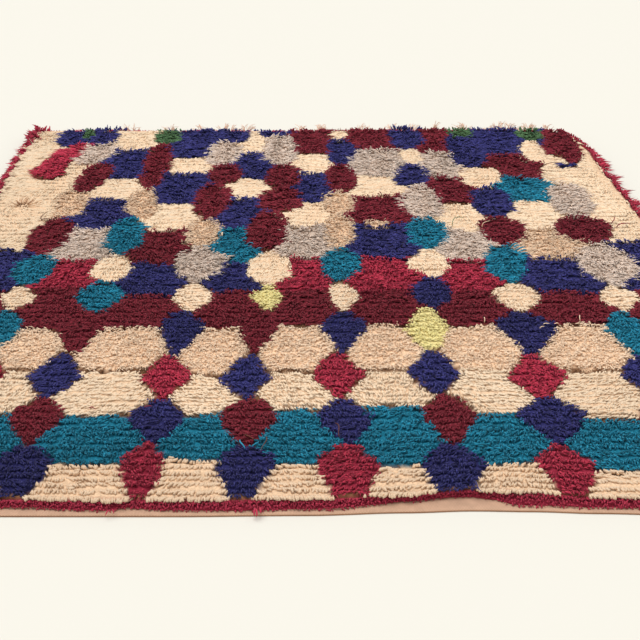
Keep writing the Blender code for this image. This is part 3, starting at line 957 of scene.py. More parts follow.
def finish_wool(tree, shader, colour, light, relief, strength, depth):
    """Darken a wool colour by a factor for red, green and blue, which holds the painted shade of spun
    yarn, and raise its relief.
    """
    tint = add_node(tree, "CombineColor", enumerate(light)).outputs["Color"]
    shaded = add_node(
        tree, "Mix", {"Factor": 1.0, "A": colour, "B": tint},
        data_type="RGBA", blend_type="MULTIPLY")
    bump = add_node(tree, "Bump", {"Strength": strength, "Distance": depth, "Height": relief})
    feed(tree, shader.inputs["Base Color"], shaded.outputs["Result"])
    feed(tree, shader.inputs["Normal"], bump.outputs["Normal"])


def tone(colour, factor, warm=0.0):
    """A lighter or darker colour of the same hue, a little redder where warm is above 0."""
    values = [value * factor for value in (
        colour[0] * (1 + warm), colour[1], colour[2] * (1 - warm))]
    return (*(value / max(1.0, *values) for value in values), 1.0)


def wool_yarn(name, colour, spread, painted_root_light, ply):
    """Spun wool: tone changes from strand to strand, with twisted plies. Painted shade darkens it
    towards the root, deep in the pile, and in the grooves between plies, warmer where darker.

    spread is how far tones differ, the third number how light the painted shade leaves the root,
    and ply how deep the painted shade in the grooves between plies is.
    """
    material, tree, shader = matt_material(name, roughness=0.86, specular=0.18, sheen=0.26)
    shader.inputs["Sheen Roughness"].default_value = 0.45
    shader.inputs["Sheen Tint"].default_value = (*(0.75 * c + 0.25 for c in colour), 1.0)
    place = add_node(tree, "UVMap", uv_map="OFBake")
    split = add_node(tree, "SeparateXYZ", {0: place.outputs["UV"]}).outputs
    stripes = maths(tree, "MULTIPLY", split["X"], SHADE_STEPS)
    number = maths(tree, "FLOOR", stripes)
    around = maths(tree, "SUBTRACT", stripes, number)
    tones = add_node(tree, "ValToRGB", {"Fac": maths(tree, "DIVIDE", number, SHADE_STEPS - 1)})
    stops = ((0.0, 1 - spread, 0.02), (0.35, 1 - 0.3 * spread, -0.02),
             (0.65, 1 + 0.25 * spread, 0.02), (1.0, 1 + spread, -0.02))
    while len(tones.color_ramp.elements) < len(stops):
        tones.color_ramp.elements.new(0.5)
    for element, (position, factor, warm) in zip(tones.color_ramp.elements, stops):
        element.position = position
        element.color = tone(colour, factor, warm)
    twist = maths(tree, "MULTIPLY_ADD", split["Y"], 5.0, around)
    groove = maths(tree, "SINE", maths(tree, "MULTIPLY", twist, 4 * pi))
    stretched = add_node(tree, "CombineXYZ", {
        "X": maths(tree, "MULTIPLY", stripes, 7.0), "Y": maths(tree, "MULTIPLY", split["Y"], 9.0)})
    streaks = add_node(tree, "TexNoise", {
        "Vector": stretched.outputs[0], "Scale": 1.0, "Detail": 2.0}).outputs["Fac"]
    # Painted shade: darker towards the root and in the grooves between plies
    up = maths(tree, "MINIMUM", maths(tree, "MULTIPLY_ADD", split["Y"], 1.3, painted_root_light), 1.12)
    plies = maths(tree, "MULTIPLY_ADD", groove, ply, 1.0 - ply)
    fibre = maths(tree, "MULTIPLY_ADD", streaks, 0.30, 0.85)
    light = maths(tree, "MULTIPLY", maths(tree, "MULTIPLY", up, plies), fibre)
    light = [maths(tree, "POWER", light, power) for power in SHADE_POWERS]
    relief = maths(tree, "MULTIPLY_ADD", streaks, 0.6, groove)
    finish_wool(
        tree, shader, tones.outputs["Color"], light, relief, strength=0.35, depth=0.0006)
    return material


def packed_wool():
    """Matted wool in the yarns' own colours with painted shade, streaked and bumpy."""
    material, tree, shader = matt_material("packed_wool", roughness=0.95, specular=0.1)
    paint = add_node(tree, "Attribute", attribute_name="wool_colour")
    place = add_node(tree, "TexCoord").outputs["Object"]
    matted = add_node(tree, "TexNoise", {
        "Vector": place, "Scale": 320.0, "Detail": 3.0}).outputs["Fac"]
    light = maths(tree, "MULTIPLY_ADD", matted, 0.9, 0.45)
    finish_wool(
        tree, shader, paint.outputs["Color"], [light] * 3, matted, strength=0.8, depth=0.0015)
    return material


def plain_weave(colours):
    """Plain weave: salmon hems, and brown weft over pale warp under the pile."""
    material, tree, shader = matt_material(
        "plain_weave", roughness=0.9, specular=0.2, sheen=0.15)
    place = add_node(tree, "TexCoord").outputs["Object"]
    split = add_node(tree, "SeparateXYZ", {0: place}).outputs
    warp, weft = (
        maths(tree, "SINE", maths(tree, "MULTIPLY", split[axis], 2 * pi / pitch))
        for axis, pitch in (("X", WARP_PITCH), ("Y", WEFT_PITCH)))
    crossing = maths(tree, "MULTIPLY", warp, weft)
    uneven = add_node(tree, "TexNoise", {
        "Vector": place, "Scale": 60.0, "Detail": 4.0}).outputs["Fac"]
    zone = add_node(tree, "Attribute", attribute_name="pile_zone").outputs["Fac"]
    cloth = add_node(
        tree, "Mix", {"Factor": zone, "A": (*colours.hem, 1.0), "B": (*colours.weft, 1.0)},
        data_type="RGBA")
    darker = maths(tree, "MULTIPLY_ADD", crossing, 0.12, 0.84)
    light = maths(tree, "MULTIPLY", darker, maths(tree, "MULTIPLY_ADD", uneven, 0.5, 0.75))
    relief = maths(tree, "ADD", crossing, uneven)
    finish_wool(
        tree, shader, cloth.outputs["Result"], [light] * 3, relief, strength=0.6, depth=0.0006)
    return material


def slab_rim(columns, rows):
    """The points of a grid that lie on its rim, once round."""
    return np.concatenate([
        np.arange(columns),
        np.arange(1, rows) * columns + columns - 1,
        (rows - 1) * columns + np.arange(columns - 2, -1, -1),
        np.arange(rows - 2, 0, -1) * columns,
    ])


def height_slab(name, x, y, top, foot, columns, rows):
    """A closed slab over a grid: an uneven top, straight sides and one level face below."""
    x, y = x + SHIFT_X, y + SHIFT_Y
    count = len(x)
    rim = slab_rim(columns, rows)
    edge = len(rim)
    below = count + np.arange(edge)
    verts = np.concatenate([
        np.stack([x, y, top], axis=1),
        np.stack([x[rim], y[rim], np.full(edge, foot)], axis=1)])
    j, i = np.meshgrid(np.arange(rows - 1), np.arange(columns - 1), indexing="ij")
    a = (j * columns + i).ravel()
    upper = np.stack([a, a + 1, a + columns + 1, a + columns], axis=1)
    walls = np.stack([below, np.roll(below, -1), np.roll(rim, -1), rim], axis=1)
    faces = upper.tolist() + walls.tolist() + [below[::-1].tolist()]
    mesh = bpy.data.meshes.new(name)
    mesh.from_pydata(verts.tolist(), [], faces)
    u = np.tile(np.arange(columns) / (columns - 1), rows)
    v = np.repeat(np.arange(rows) / (rows - 1), columns)
    top_map = np.stack([0.90 * u[upper], v[upper]], axis=2)
    step = np.arange(edge) / edge
    side = np.stack([step, step + 1 / edge, step + 1 / edge, step], axis=1)
    wall_map = np.stack([np.tile([0.91, 0.91, 0.94, 0.94], (edge, 1)), side], axis=2)
    low_map = np.stack([0.95 + 0.05 * u[rim[::-1]], v[rim[::-1]]], axis=1)
    finish_mesh(mesh, (top_map, wall_map, low_map))
    return mesh


def mark_points(mesh, name, values, columns, rows):
    """Give each point of a slab's top, and the points of its foot below, a value or a colour."""
    values = np.concatenate([values, values[slab_rim(columns, rows)]]).astype(np.float32)
    kind, field = ("FLOAT", "value") if values.ndim == 1 else ("FLOAT_COLOR", "color")
    mesh.attributes.new(name, kind, "POINT").data.foreach_set(field, values.ravel())


class RUG_OT_ground(Operator):
    """Weave the ground cloth with a flat hem at each end"""

    bl_idname = "rug.weave_ground"
    bl_label = "Weave Ground"

    def execute(self, context):
        thickness = context.scene.rug_sizes.ground_thickness
        near_rows, field_rows, far_rows = GROUND_ROWS
        along = np.concatenate([
            np.linspace(-NEAR_HEM_DEPTH, 0.0, near_rows),
            np.linspace(0.0, PILE_LENGTH, field_rows)[1:-1],
            np.linspace(PILE_LENGTH, PILE_LENGTH + FAR_HEM_DEPTH, far_rows)])
        columns, rows = GROUND_COLUMNS, len(along)
        across, along = (
            grid.ravel() for grid in np.meshgrid(np.linspace(0.0, 1.0, columns), along))
        x, y = loom_position(across, along)
        rib = GROUND_RIB * (np.repeat(np.arange(rows), columns) % 2)
        top = thickness + rib + GROUND_RIB * wave(x * 90, y * 155, 1.0)
        outer = (along < -NEAR_HEM_DEPTH + 1e-6) | (along > PILE_LENGTH + FAR_HEM_DEPTH - 1e-6)
        top = np.where(outer, thickness * GROUND_EDGE, top)
        mesh = height_slab("ground_cloth", x, y, top, 0.0, columns, rows)
        zone = held(np.minimum(along + 0.002, PILE_LENGTH - along) / 0.006)
        mark_points(mesh, "pile_zone", zone, columns, rows)
        ground = link_piece("ground_cloth", mesh, plain_weave(context.scene.rug_colours))
        ground["cut"] = (RUG_WIDTH, PILE_LENGTH + NEAR_HEM_DEPTH + FAR_HEM_DEPTH)
        return {"FINISHED"}


class RUG_OT_bed(Operator):
    """Pack the wool that fills the pile between its knots"""

    bl_idname = "rug.pack_bed"
    bl_label = "Pack Pile Bed"

    def execute(self, context):
        half_rows = round((BED_STOP - BED_START) / (ROW_PITCH / 2))
        columns, rows = round(RUG_WIDTH / BED_PITCH), half_rows + 1
        across, along = (grid.ravel() for grid in np.meshgrid(
            np.linspace(0.003, 0.997, columns), np.linspace(BED_START, BED_STOP, rows)))
        x, y = loom_position(across, along)
        share = pile_share(across, along, x, y)
        first = held(1.0 - (along - 0.005) / 0.004)
        yarn, edge = charted(x, y - BED_FALL, across)[:2]
        reach = np.where(y < FIRST_KNOTS_END, FIRST_KNOTS_SHARE * BROWN_REACH, BROWN_REACH)
        brown = bare_rim(yarn, x, y - BED_FALL, across, reach) & (first < 0.4)
        yarn = np.where(first > 0.4, CRIMSON, yarn)
        rng = np.random.default_rng(SEED + 50)
        valley = (np.repeat(np.arange(rows), columns) % 2) * BED_DIP
        uneven = rng.uniform(-1, 1, len(x)) * BED_UNEVEN
        high = BED_HEIGHT * share - valley * (1 - first) + uneven
        packed = np.array([PACKED.get(name, PACKED_DYED) for name in YARNS])[yarn]
        high = high + (packed[:, 0] / 1000 - BED_SEAM * edge) * (1 - first)
        low = LOW_BED - LOW_BED_FALL * held(-along / 0.008)
        high = np.maximum(high * (1 - first) + low * first, LEAST_BED)
        near = held(1.0 - (along - BED_START) / ROW_PITCH)
        back = near * (BED_SET_BACK - eased(FIRST_ROW_OUTLINE, 1, across))
        mesh = height_slab("pile_bed", x, y + back, high, BED_FOOT, columns, rows)
        colours = context.scene.rug_colours
        table = np.array([tuple(getattr(colours, name)) for name in YARNS])
        weft = np.array(colours.weft)[None, :]
        warm = np.stack([1 + packed[:, 2], np.ones(len(x)), 1 - packed[:, 2]], axis=1)
        # Painted shade: the wool between knots is darker than its yarn, darker still in the dips
        # between rows, and warmer under pale yarns
        dark = packed[:, 1] - 0.16 * (valley > 0)
        paint = table[yarn] * dark[:, None] * warm
        # Bare rims show the ground's own brown with painted shade; before the first dyed knots the
        # brown is partly the ground and partly painted shadow under their ends
        paint = np.where(brown[:, None], GROUND_PAINTED_SHADE["rim"] * weft, paint)
        front = (along < 0.015) & (first < 0.4) & (yarn != CREAM)
        paint = np.where(front[:, None], GROUND_PAINTED_SHADE["front"] * weft, paint)
        paint = np.concatenate([paint, np.ones((len(x), 1))], axis=1)
        mark_points(mesh, "wool_colour", paint, columns, rows)
        link_piece("pile_bed", mesh, packed_wool())
        return {"FINISHED"}


def pile_piece(name, ends, chosen, yarn, material, seed, lays=None):
    """Knot one piece of pile: the strands of one yarn at the chosen ends."""
    height, near_lay, far_lay = lays or YARN_LAY[yarn]
    rng = np.random.default_rng(seed)
    picked = np.flatnonzero(chosen)
    wild = (ends["along"][picked] / PILE_LENGTH).mean() > PART_PLACE
    per_end = far_lay[0] if wild else near_lay[0]
    front = held(1.0 - (ends["along"][picked] - FIELD_START) / FIRST_DEPTH)
    copies = per_end * (1 + FIRST_MORE * front) + rng.uniform(0, 1, picked.size)
    copies = np.floor(copies).astype(int)
    picked, front = np.repeat(picked, copies), np.repeat(front, copies)
    count = picked.size
    x, y, across, along, line, knot, lay, lean, upright, edge = (
        ends[key][picked] for key in (
            "x", "y", "across", "along", "line", "knot", "lay", "lean", "upright", "edge"))
    neat = yarn == "cream"
    ways = NEAT_PILE if neat else LOOSE_PILE
    beads = neat and not lays and not wild
    far = along / PILE_LENGTH
    mix = wildness(far)
    x = x + rng.uniform(-1, 1, count) * END_PITCH * (BEAD_STRAY if beads else LOOSE_STRAY)
    ragged = between_ends(RAGGED.get(yarn, RAGGED_DYED), mix) * (1 + 0.9 * mix * edge)
    y = y + rng.uniform(-1, 1, count) * ragged
    if not neat:
        y = y - DYED_FRONT * front
    if lays:
        y = y + rng.uniform(-1, 1, count) * BAND_STRAY
    share = pile_share(across, along, x, y) * bpy.context.scene.rug_sizes.pile_scale
    radius, reach, droop, scatter, sway = (
        between_ends(pair, mix) for pair in zip(near_lay[1:], far_lay[1:]))

    # Which way each strand falls: outward at the side rims, and any way at the far end
    heading = lay + np.radians(scatter) * np.where(edge, 0.8, 1.0) * rng.normal(0, 1, count)
    rim = held(1.0 - np.minimum(across, 1 - across) * RUG_WIDTH / RIM_DEPTH)
    heading = heading + rim * np.where(across < 0.5, -1, 1) * radians(RIM_TURN)
    last = held(1.0 - (PILE_LENGTH - along) / END_DEPTH)
    heading = heading + last * rng.uniform(-1, 1, count) * pi

    # How tall each strand stands, in mm
    lift = 2 * knot_share(knot, KNOT_LIFT) - 1
    uneven = ways["uneven"] * rng.normal(0, 1, count) + 0.03 * lift
    spike = (rng.uniform(0, 1, count) < SPIKE_SHARE * mix) & (not neat)
    tall = height * share * (1 + uneven) + ways["far_rise"] * mix + SPIKE_RISE * spike
    upright = upright * rng.uniform(0, 1, count) * ways["upright"]
    upright = upright * np.where(knot_share(knot, KNOT_UPRIGHT) > 0.45, 1.0, 0.25)
    tall = tall + 3.0 * held(1 - lean) + 4.0 * upright
    tall = tall - EDGE_DROP * edge * (1 - mix)
    if not beads:
        tall = tall - (line == 0) * LINE_DROP
    root_height = ROOT_HEIGHT * share
    rise = np.maximum(tall / 1000 - root_height, LEAST_RISE)

    # How far each strand reaches, and how it droops and sways
    ahead = reach / 1000 * lean * np.where(edge, 0.92, 1.0) * (1 - 0.6 * upright)
    if beads:
        ahead = ahead * (1 - 0.08 * front)
    ahead = ahead * (1 + ways["uneven_reach"] * rng.normal(0, 1, count))
    ahead = np.where(spike, SPIKE_REACH * ahead, ahead)
    fall = droop / 1000 * rng.uniform(0.7, 1.3, count)
    sways = sway / 1000 * rng.normal(0, 1, count), rng.uniform(0, 2 * pi, count)
    places, widths = (
        (BLUNT_PLACES, BLUNT_WIDTHS) if beads else (POINTED_PLACES, POINTED_WIDTHS))
    points = strand_points(
        (x, y, root_height), heading, rise, ahead, fall, sways, places,
        between_ends(STRAND_BEND, mix))

    # Its shade: dye and wool change from knot to knot and from end to end. Along the cloth it is
    # painted paler towards the far end, and painted shade lies between the cream's rows and in the
    # whorl
    # Paler towards the far end: painted light for the haze over the far pile
    abrash_and_painted_shade = 0.5 + 0.30 * (far - 0.5) + 0.12 * wave(x * 5, y * 17, 0.4)
    abrash_and_painted_shade = abrash_and_painted_shade + (0.10 if yarn == "tan" else 0.22) * (knot_share(knot, KNOT_SHADE) - 0.5)
    if neat:
        # Painted shade in bands between the cream's rows; the cream is also darker towards the far
        # left
        abrash_and_painted_shade = abrash_and_painted_shade + 0.15 * mix * wave(x * 8, along * 2 * pi / ROW_PITCH, 2.7)
        abrash_and_painted_shade = abrash_and_painted_shade - 0.50 * mix * held((0.22 - across) / 0.06)
    else:
        paler = PALER_INDIGO if yarn == "indigo" else PALER_OTHERS
        abrash_and_painted_shade = abrash_and_painted_shade + paler * np.exp(-((along - PALER_PLACE) / PALER_REACH) ** 2)
        abrash_and_painted_shade = abrash_and_painted_shade + 0.25 * (across - 0.45) * (1 - mix)
    abrash_and_painted_shade = abrash_and_painted_shade + ways["shades"] * rng.normal(0, 1, count)
    # Painted shade where the whorl parts the pile
    abrash_and_painted_shade = abrash_and_painted_shade - WHORL_PAINTED_SHADE * whorl_pull(x, y)
    shade = np.clip((abrash_and_painted_shade * SHADE_STEPS).astype(int), 0, SHADE_STEPS - 1)
    thick = radius / 1000 * (1 + 0.12 * rng.normal(0, 1, count))
    link_piece(name, strand_mesh(name, points, thick, widths, 3, shade, places), material)


class RUG_OT_neat_pile(Operator):
    """Knot the cream pile, whose thick ends lie in neat lines, and the brown lines beside it"""

    bl_idname = "rug.knot_neat_pile"
    bl_label = "Knot Cream Pile"

    def execute(self, context):
        colours = context.scene.rug_colours
        part_place = PART_PLACE * PILE_LENGTH
        # Each part: its cream, rows, start, stop, tone spread, how light the painted shade leaves the
        # root, and how it lies; the far cream is painted paler for the haze over the far pile
        parts = (
            ("near", colours.cream, BEAD_ROWS, FIELD_START, BAND_START, 0.10, 0.46, None),
            ("band", colours.band, BAND_ROWS, BAND_START, part_place, 0.06, 0.78, BAND_LAY),
            ("far", colours.pale, LOOSE_ROWS, part_place, PILE_LENGTH, 0.10, 0.62, None),
        )
        for number, (name, colour, rows, start, stop, spread, painted_root_light, lays) in enumerate(parts):
            ends = yarn_ends(*rows, start, stop)
            material = wool_yarn(f"cream_wool_{name}", colour, spread, painted_root_light, 0.05)
            chosen = ends["yarn"] == CREAM
            seed = SEED + 1 + number
            pile_piece(f"pile_cream_{name}", ends, chosen, "cream", material, seed, lays)
        ends = yarn_ends(*BROWN_ROWS, FIELD_START, PILE_LENGTH)
        material = wool_yarn(
            "brown_wool", tone(colours.weft, 0.8)[:3], spread=0.20, painted_root_light=0.60, ply=0.05)
        pile_piece("pile_brown", ends, ends["yarn"] < 0, "brown", material, SEED + 5, BROWN_LAY)
        return {"FINISHED"}


class RUG_OT_loose_pile(Operator):
    """Knot the dyed, tan and grey pile, whose thinner ends fall every way"""

    bl_idname = "rug.knot_loose_pile"
    bl_label = "Knot Dyed Pile"

    def execute(self, context):
        colours = context.scene.rug_colours
        ends = yarn_ends(*LOOSE_ROWS, FIELD_START, PILE_LENGTH)
        near = ends["along"] < PILE_LENGTH * PART_PLACE
        for number, (yarn, looks) in enumerate(YARN_LOOKS.items()):
            spread, painted_root_light, ply, paler = looks
            chosen = ends["yarn"] == YARNS.index(yarn)
            for part, there in (("near", near), ("far", ~near)):
                if not (chosen & there).any():
                    continue
                # The far copy of each yarn is painted paler: painted light for the haze over the far
                # pile
                fade = paler if part == "far" else 1.0
                rough = FAR_TAN_ROUGH if (yarn, part) == ("tan", "far") else 0.0
                material = wool_yarn(
                    f"{yarn}_wool_{part}", tone(getattr(colours, yarn), fade)[:3],
                    spread + rough / 2, painted_root_light - rough, ply)
                seed = SEED + 10 + 2 * number + (part == "far")
                pile_piece(f"pile_{yarn}_{part}", ends, chosen & there, yarn, material, seed)
        return {"FINISHED"}


class RUG_OT_first_row(Operator):
    """Knot the low crimson row along the near hem and the last one, and the locks at both sides"""

    bl_idname = "rug.knot_first_row"
    bl_label = "Knot First Row and Side Locks"

    def execute(self, context):
        colours = context.scene.rug_colours
        crimson = wool_yarn(
            "binding_wool", colours.crimson, spread=0.24, painted_root_light=0.30, ply=0.05)
        brown = wool_yarn(
            "hem_wool", colours.weft, spread=0.20, painted_root_light=0.55, ply=0.10)
        darker = wool_yarn(
            "side_wool", tone(colours.crimson, 0.78)[:3], spread=0.30, painted_root_light=0.48, ply=0.05)
        rng = np.random.default_rng(SEED + 60)
        low_row(rng, crimson)
        hem_cord(brown)
        far_row(rng, crimson)
        rim_locks(rng, darker)
        return {"FINISHED"}


def low_row(rng, material):
    """The puffy first row: short strands all over a low ridge that hangs over the hem a little."""
    count = FIRST_ROW_STRANDS
    across = rng.uniform(0.001, 0.999, count)
    depth = rng.uniform(0, 1, count)
    front = FIRST_ROW_FRONT - eased(FIRST_ROW_OUTLINE, 1, across)
    x, y = loom_position(across, front + (FIRST_ROW_BACK - front) * depth)
    y = y + 0.0012 * wave(across * 44, 0, 0.6)
    heading = rng.normal(0, radians(50), count)
    crest = np.sin(pi * (0.03 + 0.72 * depth))
    rise = 0.0016 + 0.0052 * crest * rng.uniform(0.8, 1.1, count)
    reach = rng.uniform(0.003, 0.0070, count)
    loose_strands(
        "first_row", material, rng, (x, y, 0.0032 + 0.0058 * crest), heading, rise, reach,
        droop=np.full(count, 0.0022), sway=0.0006, thick=(0.0010, 0.0017))


def hem_cord(material):
    """The thin brown cord along the edge of the near hem."""
    places = tuple(np.linspace(0.0, 1.0, 121))
    x, y = loom_position(np.array(places), np.full(len(places), -NEAR_HEM_DEPTH))
    points = np.stack([x + SHIFT_X, y + SHIFT_Y + 0.0004, np.full(len(x), 0.0012)], axis=1)
    mesh = strand_mesh(
        "hem_cord", points[None], np.array([0.0010]), np.ones(len(places) - 2), 5,
        np.array([SHADE_STEPS // 2]), places)
    link_piece("hem_cord", mesh, material)


def far_row(rng, material):
    """The last row, crimson as well: short upright ends that just show behind the far pile."""
    count = LAST_ROW_STRANDS
    across = rng.uniform(0.012, 0.985, count)
    x, y = loom_position(across, PILE_LENGTH + rng.uniform(-0.001, 0.003, count))
    heading = rng.uniform(-pi, pi, count)
    rise = 0.0146 + 0.0012 * wave(x * 60, 0, 1.4) + rng.uniform(-0.0020, 0.0008, count)
    reach = rng.uniform(0.001, 0.005, count)
    loose_strands(
        "last_row", material, rng, (x, y, 0.0060), heading, rise, reach,
        droop=np.full(count, 0.0005), sway=0.0006, thick=(0.0012, 0.0019), bend=1.3)


def rim_locks(rng, material):
    """Locks that point out from both sides, in tufts, wild at the far left corner."""
    count = SIDE_STRANDS
    right = rng.uniform(0, 1, count) < RIGHT_SHARE
    along = rng.uniform(0.004, PILE_LENGTH - 0.002, count)
    tuft = np.floor(along / SIDE_TUFT_PITCH)
    along = along + (tuft * SIDE_TUFT_PITCH + SIDE_TUFT_PITCH / 2 - along) * 0.50
    far = along / PILE_LENGTH
    corner = ~right * held((far - 0.90) / 0.06)
    far_left = ~right * held((far - 0.50) / 0.15)
    far_right = right * held((far - 0.40) / 0.15)
    inset = (rng.uniform(0.0005, 0.0075, count) + rng.uniform(0, 0.024, count) * corner) / RUG_WIDTH
    x, y = loom_position(np.where(right, 1 - inset, inset), along)
    clump = 1 + far_left * (0.9 * np.sin(pi * along / LEFT_CLUMP) ** 2 - 0.1)
    clump = clump + far_right * (0.6 * np.sin(pi * along / RIGHT_CLUMP) ** 2 - 0.35)
    heading = np.where(right, 1, -1) * np.radians(LOCK_TURN - LOCK_TURN_LESS * far_right)
    heading = heading + radians(TUFT_SPREAD) * (knot_share(tuft, TUFT_TURN) - 0.5)
    heading = heading + rng.normal(0, radians(LOCK_SCATTER), count) * (1 + 1.6 * corner)
    heading = heading - corner * radians(CORNER_TURN) * rng.uniform(0, 1, count)
    high = right * (0.0030 + 0.0070 * np.clip(far - 0.4, 0.0, 0.5))
    high = high + rng.uniform(0.0060, 0.0150, count)
    longer = np.where(right, 0.56, 1.20) * (0.80 + 0.40 * knot_share(tuft, TUFT_REACH))
    reach = rng.uniform(0.010, 0.015, count) * longer * clump * (1 - 0.3 * corner)
    rise = rng.uniform(0.001, 0.006, count) * clump ** 2 * (1 + 0.5 * far_left)
    rise = rise + 0.011 * corner * knot_share(tuft, TUFT_RISE) * rng.uniform(0.5, 1, count)
    droop = (high + rise - rng.uniform(0.0016, 0.0070, count)) * rng.uniform(0.3, 0.9, count)
    droop = droop * (1 - 0.8 * corner)
    loose_strands(
        "side_locks", material, rng, (x, y, high), heading, rise, reach, droop, sway=0.0010,
        thick=(0.0014, 0.0021), stout=np.where(right, 1.15, 1.3 + 0.3 * far_left), bend=1.7)


class RUG_OT_strays(Operator):
    """Lay the stray yarns that stand out of the pile"""

    bl_idname = "rug.lay_strays"
    bl_label = "Lay Stray Yarns"

    def execute(self, context):
        rng = np.random.default_rng(SEED + 80)
        colours = context.scene.rug_colours
        for yarn, strays in STRAY_YARNS.items():
            knots, rows, heading, length, lift, radius, bow = np.array(strays).T
            count = len(knots)
            start = np.where(rows < 2, 0.0085, 0.0205)
            fall = np.where(rows < 2, 0.0050, 0.35 * lift / 1000)
            root = chart_across(knots), rows * CHART_ROW_PITCH - CHART_START, start
            sway = bow / 1000, rng.uniform(0, 0.6, count)
            points = strand_points(
                root, np.radians(heading), 0.004 + lift / 1000, length / 1000, fall, sway,
                STRAY_PLACES)
            shade = rng.integers(SHADE_STEPS // 3, SHADE_STEPS, count)
            mesh = strand_mesh(
                f"stray_{yarn}", points, radius / 1000, STRAY_WIDTHS, 5, shade, STRAY_PLACES)
            material = wool_yarn(
                f"stray_{yarn}_wool", getattr(colours, yarn), spread=0.12, painted_root_light=0.5, ply=0.08)
            link_piece(f"stray_{yarn}", mesh, material)
        return {"FINISHED"}


class RUG_OT_tufts(Operator):
    """Stand tufts of longer ends along the far end"""

    bl_idname = "rug.stand_tufts"
    bl_label = "Stand Far Tufts"

    def execute(self, context):
        rng = np.random.default_rng(SEED + 90)
        colours = context.scene.rug_colours
        left, right = loom_position(np.array([0.0, 1.0]), np.full(2, PILE_LENGTH))[0]
        for yarn, tufts in FAR_TUFTS.items():
            middle, spread, ends, height = np.array(tufts).T
            middle, spread, height = (
                np.repeat(column, ends.astype(int)) for column in (middle, spread, height))
            count = len(middle)
            aside = rng.uniform(-1, 1, count)
            place = chart_across(middle + spread * aside)
            across = np.clip((place - left) / (right - left), 0.004, 0.996)
            x, y = loom_position(across, PILE_LENGTH - rng.uniform(0.001, 0.014, count))
            heading = np.radians(150 * aside) + rng.normal(0, 0.9, count)
            tall = height / 1000 * rng.uniform(0.5, 1.0, count) * (1 - 0.3 * aside ** 2)
            reach = 0.004 + 0.5 * tall * rng.uniform(0.2, 1.0, count)
            material = wool_yarn(
                f"tufts_{yarn}_wool", getattr(colours, yarn), spread=0.24, painted_root_light=0.4, ply=0.06)
            loose_strands(
                f"tufts_{yarn}", material, rng, (x, y, 0.0170), heading, 0.003 + tall, reach,
                droop=0 * tall, sway=0.0012, thick=(0.0018, 0.0027), places=BLUNT_PLACES,
                widths=TUFT_WIDTHS, sides=4, bend=1.3, darkest=SHADE_STEPS // 3)
        return {"FINISHED"}


class RUG_OT_fringe(Operator):
    """Lay the pale warp ends beyond the far hem"""

    bl_idname = "rug.lay_fringe"
    bl_label = "Lay Far Fringe"

    def execute(self, context):
        rng = np.random.default_rng(SEED + 70)
        count = FRINGE_STRANDS
        even = 0.010 + 0.980 * (np.arange(count) + rng.uniform(0.1, 0.9, count)) / count
        spots, spreads, heights = np.array(FRINGE_GROUPS).T
        pick = rng.integers(0, len(spots), count)
        bunched = spots[pick] + 0.8 * spreads[pick] * rng.normal(0, 1, count)
        across = np.where(rng.uniform(0, 1, count) < FRINGE_GROUPED, bunched, even)
        x, y = loom_position(across, np.full(count, PILE_LENGTH + FAR_HEM_DEPTH))
        nearness = np.exp(-((across[:, None] - spots) / spreads) ** 2)
        tall = (heights / 1000 * nearness).max(axis=1)
        length = 0.022 + 0.35 * tall + rng.uniform(-0.006, 0.008, count)
        group = np.floor(across * FRINGE_BUNCHES)
        lean = 0.35 * wave(x * 17, 0, 1.0) + 0.8 * (knot_share(group, BUNCH_LEAN) - 0.5)
        heading = pi + lean + rng.normal(0, 0.30, count)
        stands = rng.uniform(0, 1, count) < 0.75
        rise = 0.0008 + stands * tall * rng.uniform(0.6, 1.0, count)
        droop = rise * rng.uniform(0.0, 0.35, count)
        material = wool_yarn(
            "warp_wool", context.scene.rug_colours.warp, spread=0.16, painted_root_light=0.55, ply=0.08)
        loose_strands(
            "far_fringe_yarns", material, rng, (x, y - 0.004, 0.0014), heading, rise, length,
            droop, sway=0.0032, thick=(0.0007, 0.0013), places=FRINGE_PLACES,
            widths=FRINGE_WIDTHS, slot="warp_wool", node="far_fringe")
        return {"FINISHED"}


class RUG_OT_stage(Operator):
    """Lay the floor and set the lights and the camera"""

    bl_idname = "rug.set_stage"
    bl_label = "Set Stage"

    def execute(self, context):
        looks = context.scene.rug_stage
        lay_floor(looks)
        hang_lights(looks)
        place_camera(looks)
        return {"FINISHED"}


def lay_floor(looks):
    """A wide flat floor, pale and faintly mottled."""
    half = FLOOR_HALF
    corners = ((-half, -half), (half, -half), (half, half), (-half, half))
    mesh = bpy.data.meshes.new("floor")
    mesh.from_pydata([(x, y, -FLOOR_DROP) for x, y in corners], [], [(0, 1, 2, 3)])
    material, tree, shader = matt_material("pale_floor", roughness=0.95, specular=0.1)
    mottle = add_node(tree, "TexNoise", {"Scale": 2.0}).outputs["Fac"]
    tint = add_node(
        tree, "Mix", {"Factor": mottle, "A": tone(looks.floor, 0.985), "B": tone(looks.floor, 1.0)},
        data_type="RGBA")
    feed(tree, shader.inputs["Base Color"], tint.outputs["Result"])
    mesh.materials.append(material)
    floor = add_to_scene("floor", mesh)


def hang_lights(looks):
    """An even sky and one large soft light overhead, a little to the left."""
    world = bpy.data.worlds.new("even_sky")
    world.use_nodes = True
    sky = world.node_tree.nodes["Background"]
    sky.inputs["Color"].default_value = SKY_COLOUR
    sky.inputs["Strength"].default_value = looks.sky_strength
    bpy.context.scene.world = world
    light = bpy.data.lights.new("overhead", "SUN")
    light.angle = LAMP_SPREAD
    light.energy = looks.key_strength
    light.color = LAMP_COLOUR
    lamp = add_to_scene("overhead", light)
    lamp.location = LAMP_PLACE
    lamp.rotation_euler = (-lamp.location).to_track_quat("-Z", "Y").to_euler()


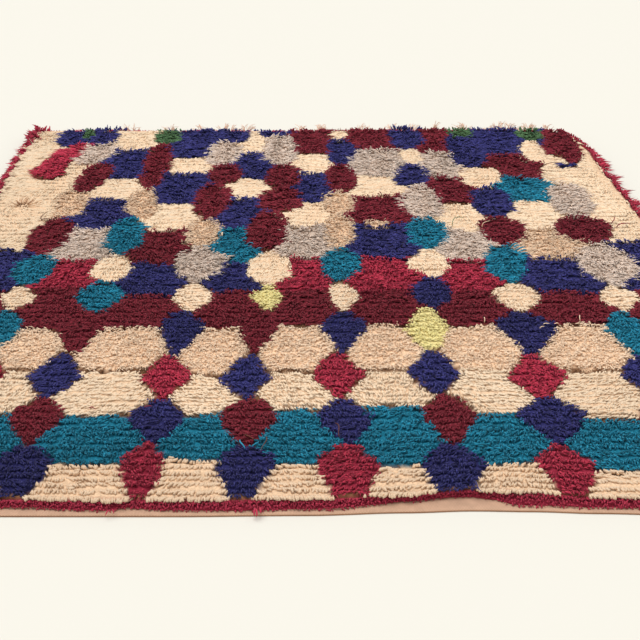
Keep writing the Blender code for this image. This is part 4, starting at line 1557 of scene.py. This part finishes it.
def place_camera(looks):
    """A camera above the floor beyond the near hem that looks down the rug."""
    camera = bpy.data.cameras.new("view")
    camera.sensor_width = SENSOR_WIDTH
    camera.lens = looks.lens
    eye = add_to_scene("view", camera)
    eye.location = (
        SHIFT_X + looks.eye_across,
        SHIFT_Y - NEAR_HEM_DEPTH - looks.eye_distance,
        looks.eye_height,
    )
    eye.rotation_euler = (pi / 2 - looks.pitch, 0.0, 0.0)
    bpy.context.scene.camera = eye
    bpy.context.scene.view_settings.view_transform = "Standard"


class RUG_PT_panel(Panel):
    """The rug's sizes, colours and steps"""

    bl_idname = "RUG_PT_panel"
    bl_label = "Lozenge Pile Rug"
    bl_space_type = "VIEW_3D"
    bl_region_type = "UI"
    bl_category = "Rug"

    def draw(self, context):
        layout = self.layout
        for title, group in (
            ("Sizes", context.scene.rug_sizes),
            ("Yarn colours", context.scene.rug_colours),
            ("Stage", context.scene.rug_stage),
        ):
            box = layout.box()
            box.label(text=title)
            for name in group.__annotations__:
                box.prop(group, name)
        for operator in OPERATORS:
            layout.operator(operator.bl_idname)


OPERATORS = (
    RUG_OT_ground, RUG_OT_bed, RUG_OT_neat_pile, RUG_OT_loose_pile, RUG_OT_first_row,
    RUG_OT_strays, RUG_OT_tufts, RUG_OT_fringe, RUG_OT_stage,
)
CLASSES = (RugSizes, YarnColours, StageLooks, *OPERATORS, RUG_PT_panel)


def register():
    """Register the classes and hang their settings on the scene."""
    for item in CLASSES:
        bpy.utils.register_class(item)
    bpy.types.Scene.rug_sizes = PointerProperty(type=RugSizes)
    bpy.types.Scene.rug_colours = PointerProperty(type=YarnColours)
    bpy.types.Scene.rug_stage = PointerProperty(type=StageLooks)


def unregister():
    """Take the settings and the classes away again."""
    del bpy.types.Scene.rug_stage
    del bpy.types.Scene.rug_colours
    del bpy.types.Scene.rug_sizes
    for item in reversed(CLASSES):
        bpy.utils.unregister_class(item)


def main():
    """Make the rug and its stage."""
    register()
    bpy.ops.rug.weave_ground()
    bpy.ops.rug.pack_bed()
    bpy.ops.rug.knot_neat_pile()
    bpy.ops.rug.knot_loose_pile()
    bpy.ops.rug.knot_first_row()
    bpy.ops.rug.lay_strays()
    bpy.ops.rug.stand_tufts()
    bpy.ops.rug.lay_fringe()
    bpy.ops.rug.set_stage()


if __name__ == "__main__":
    main()
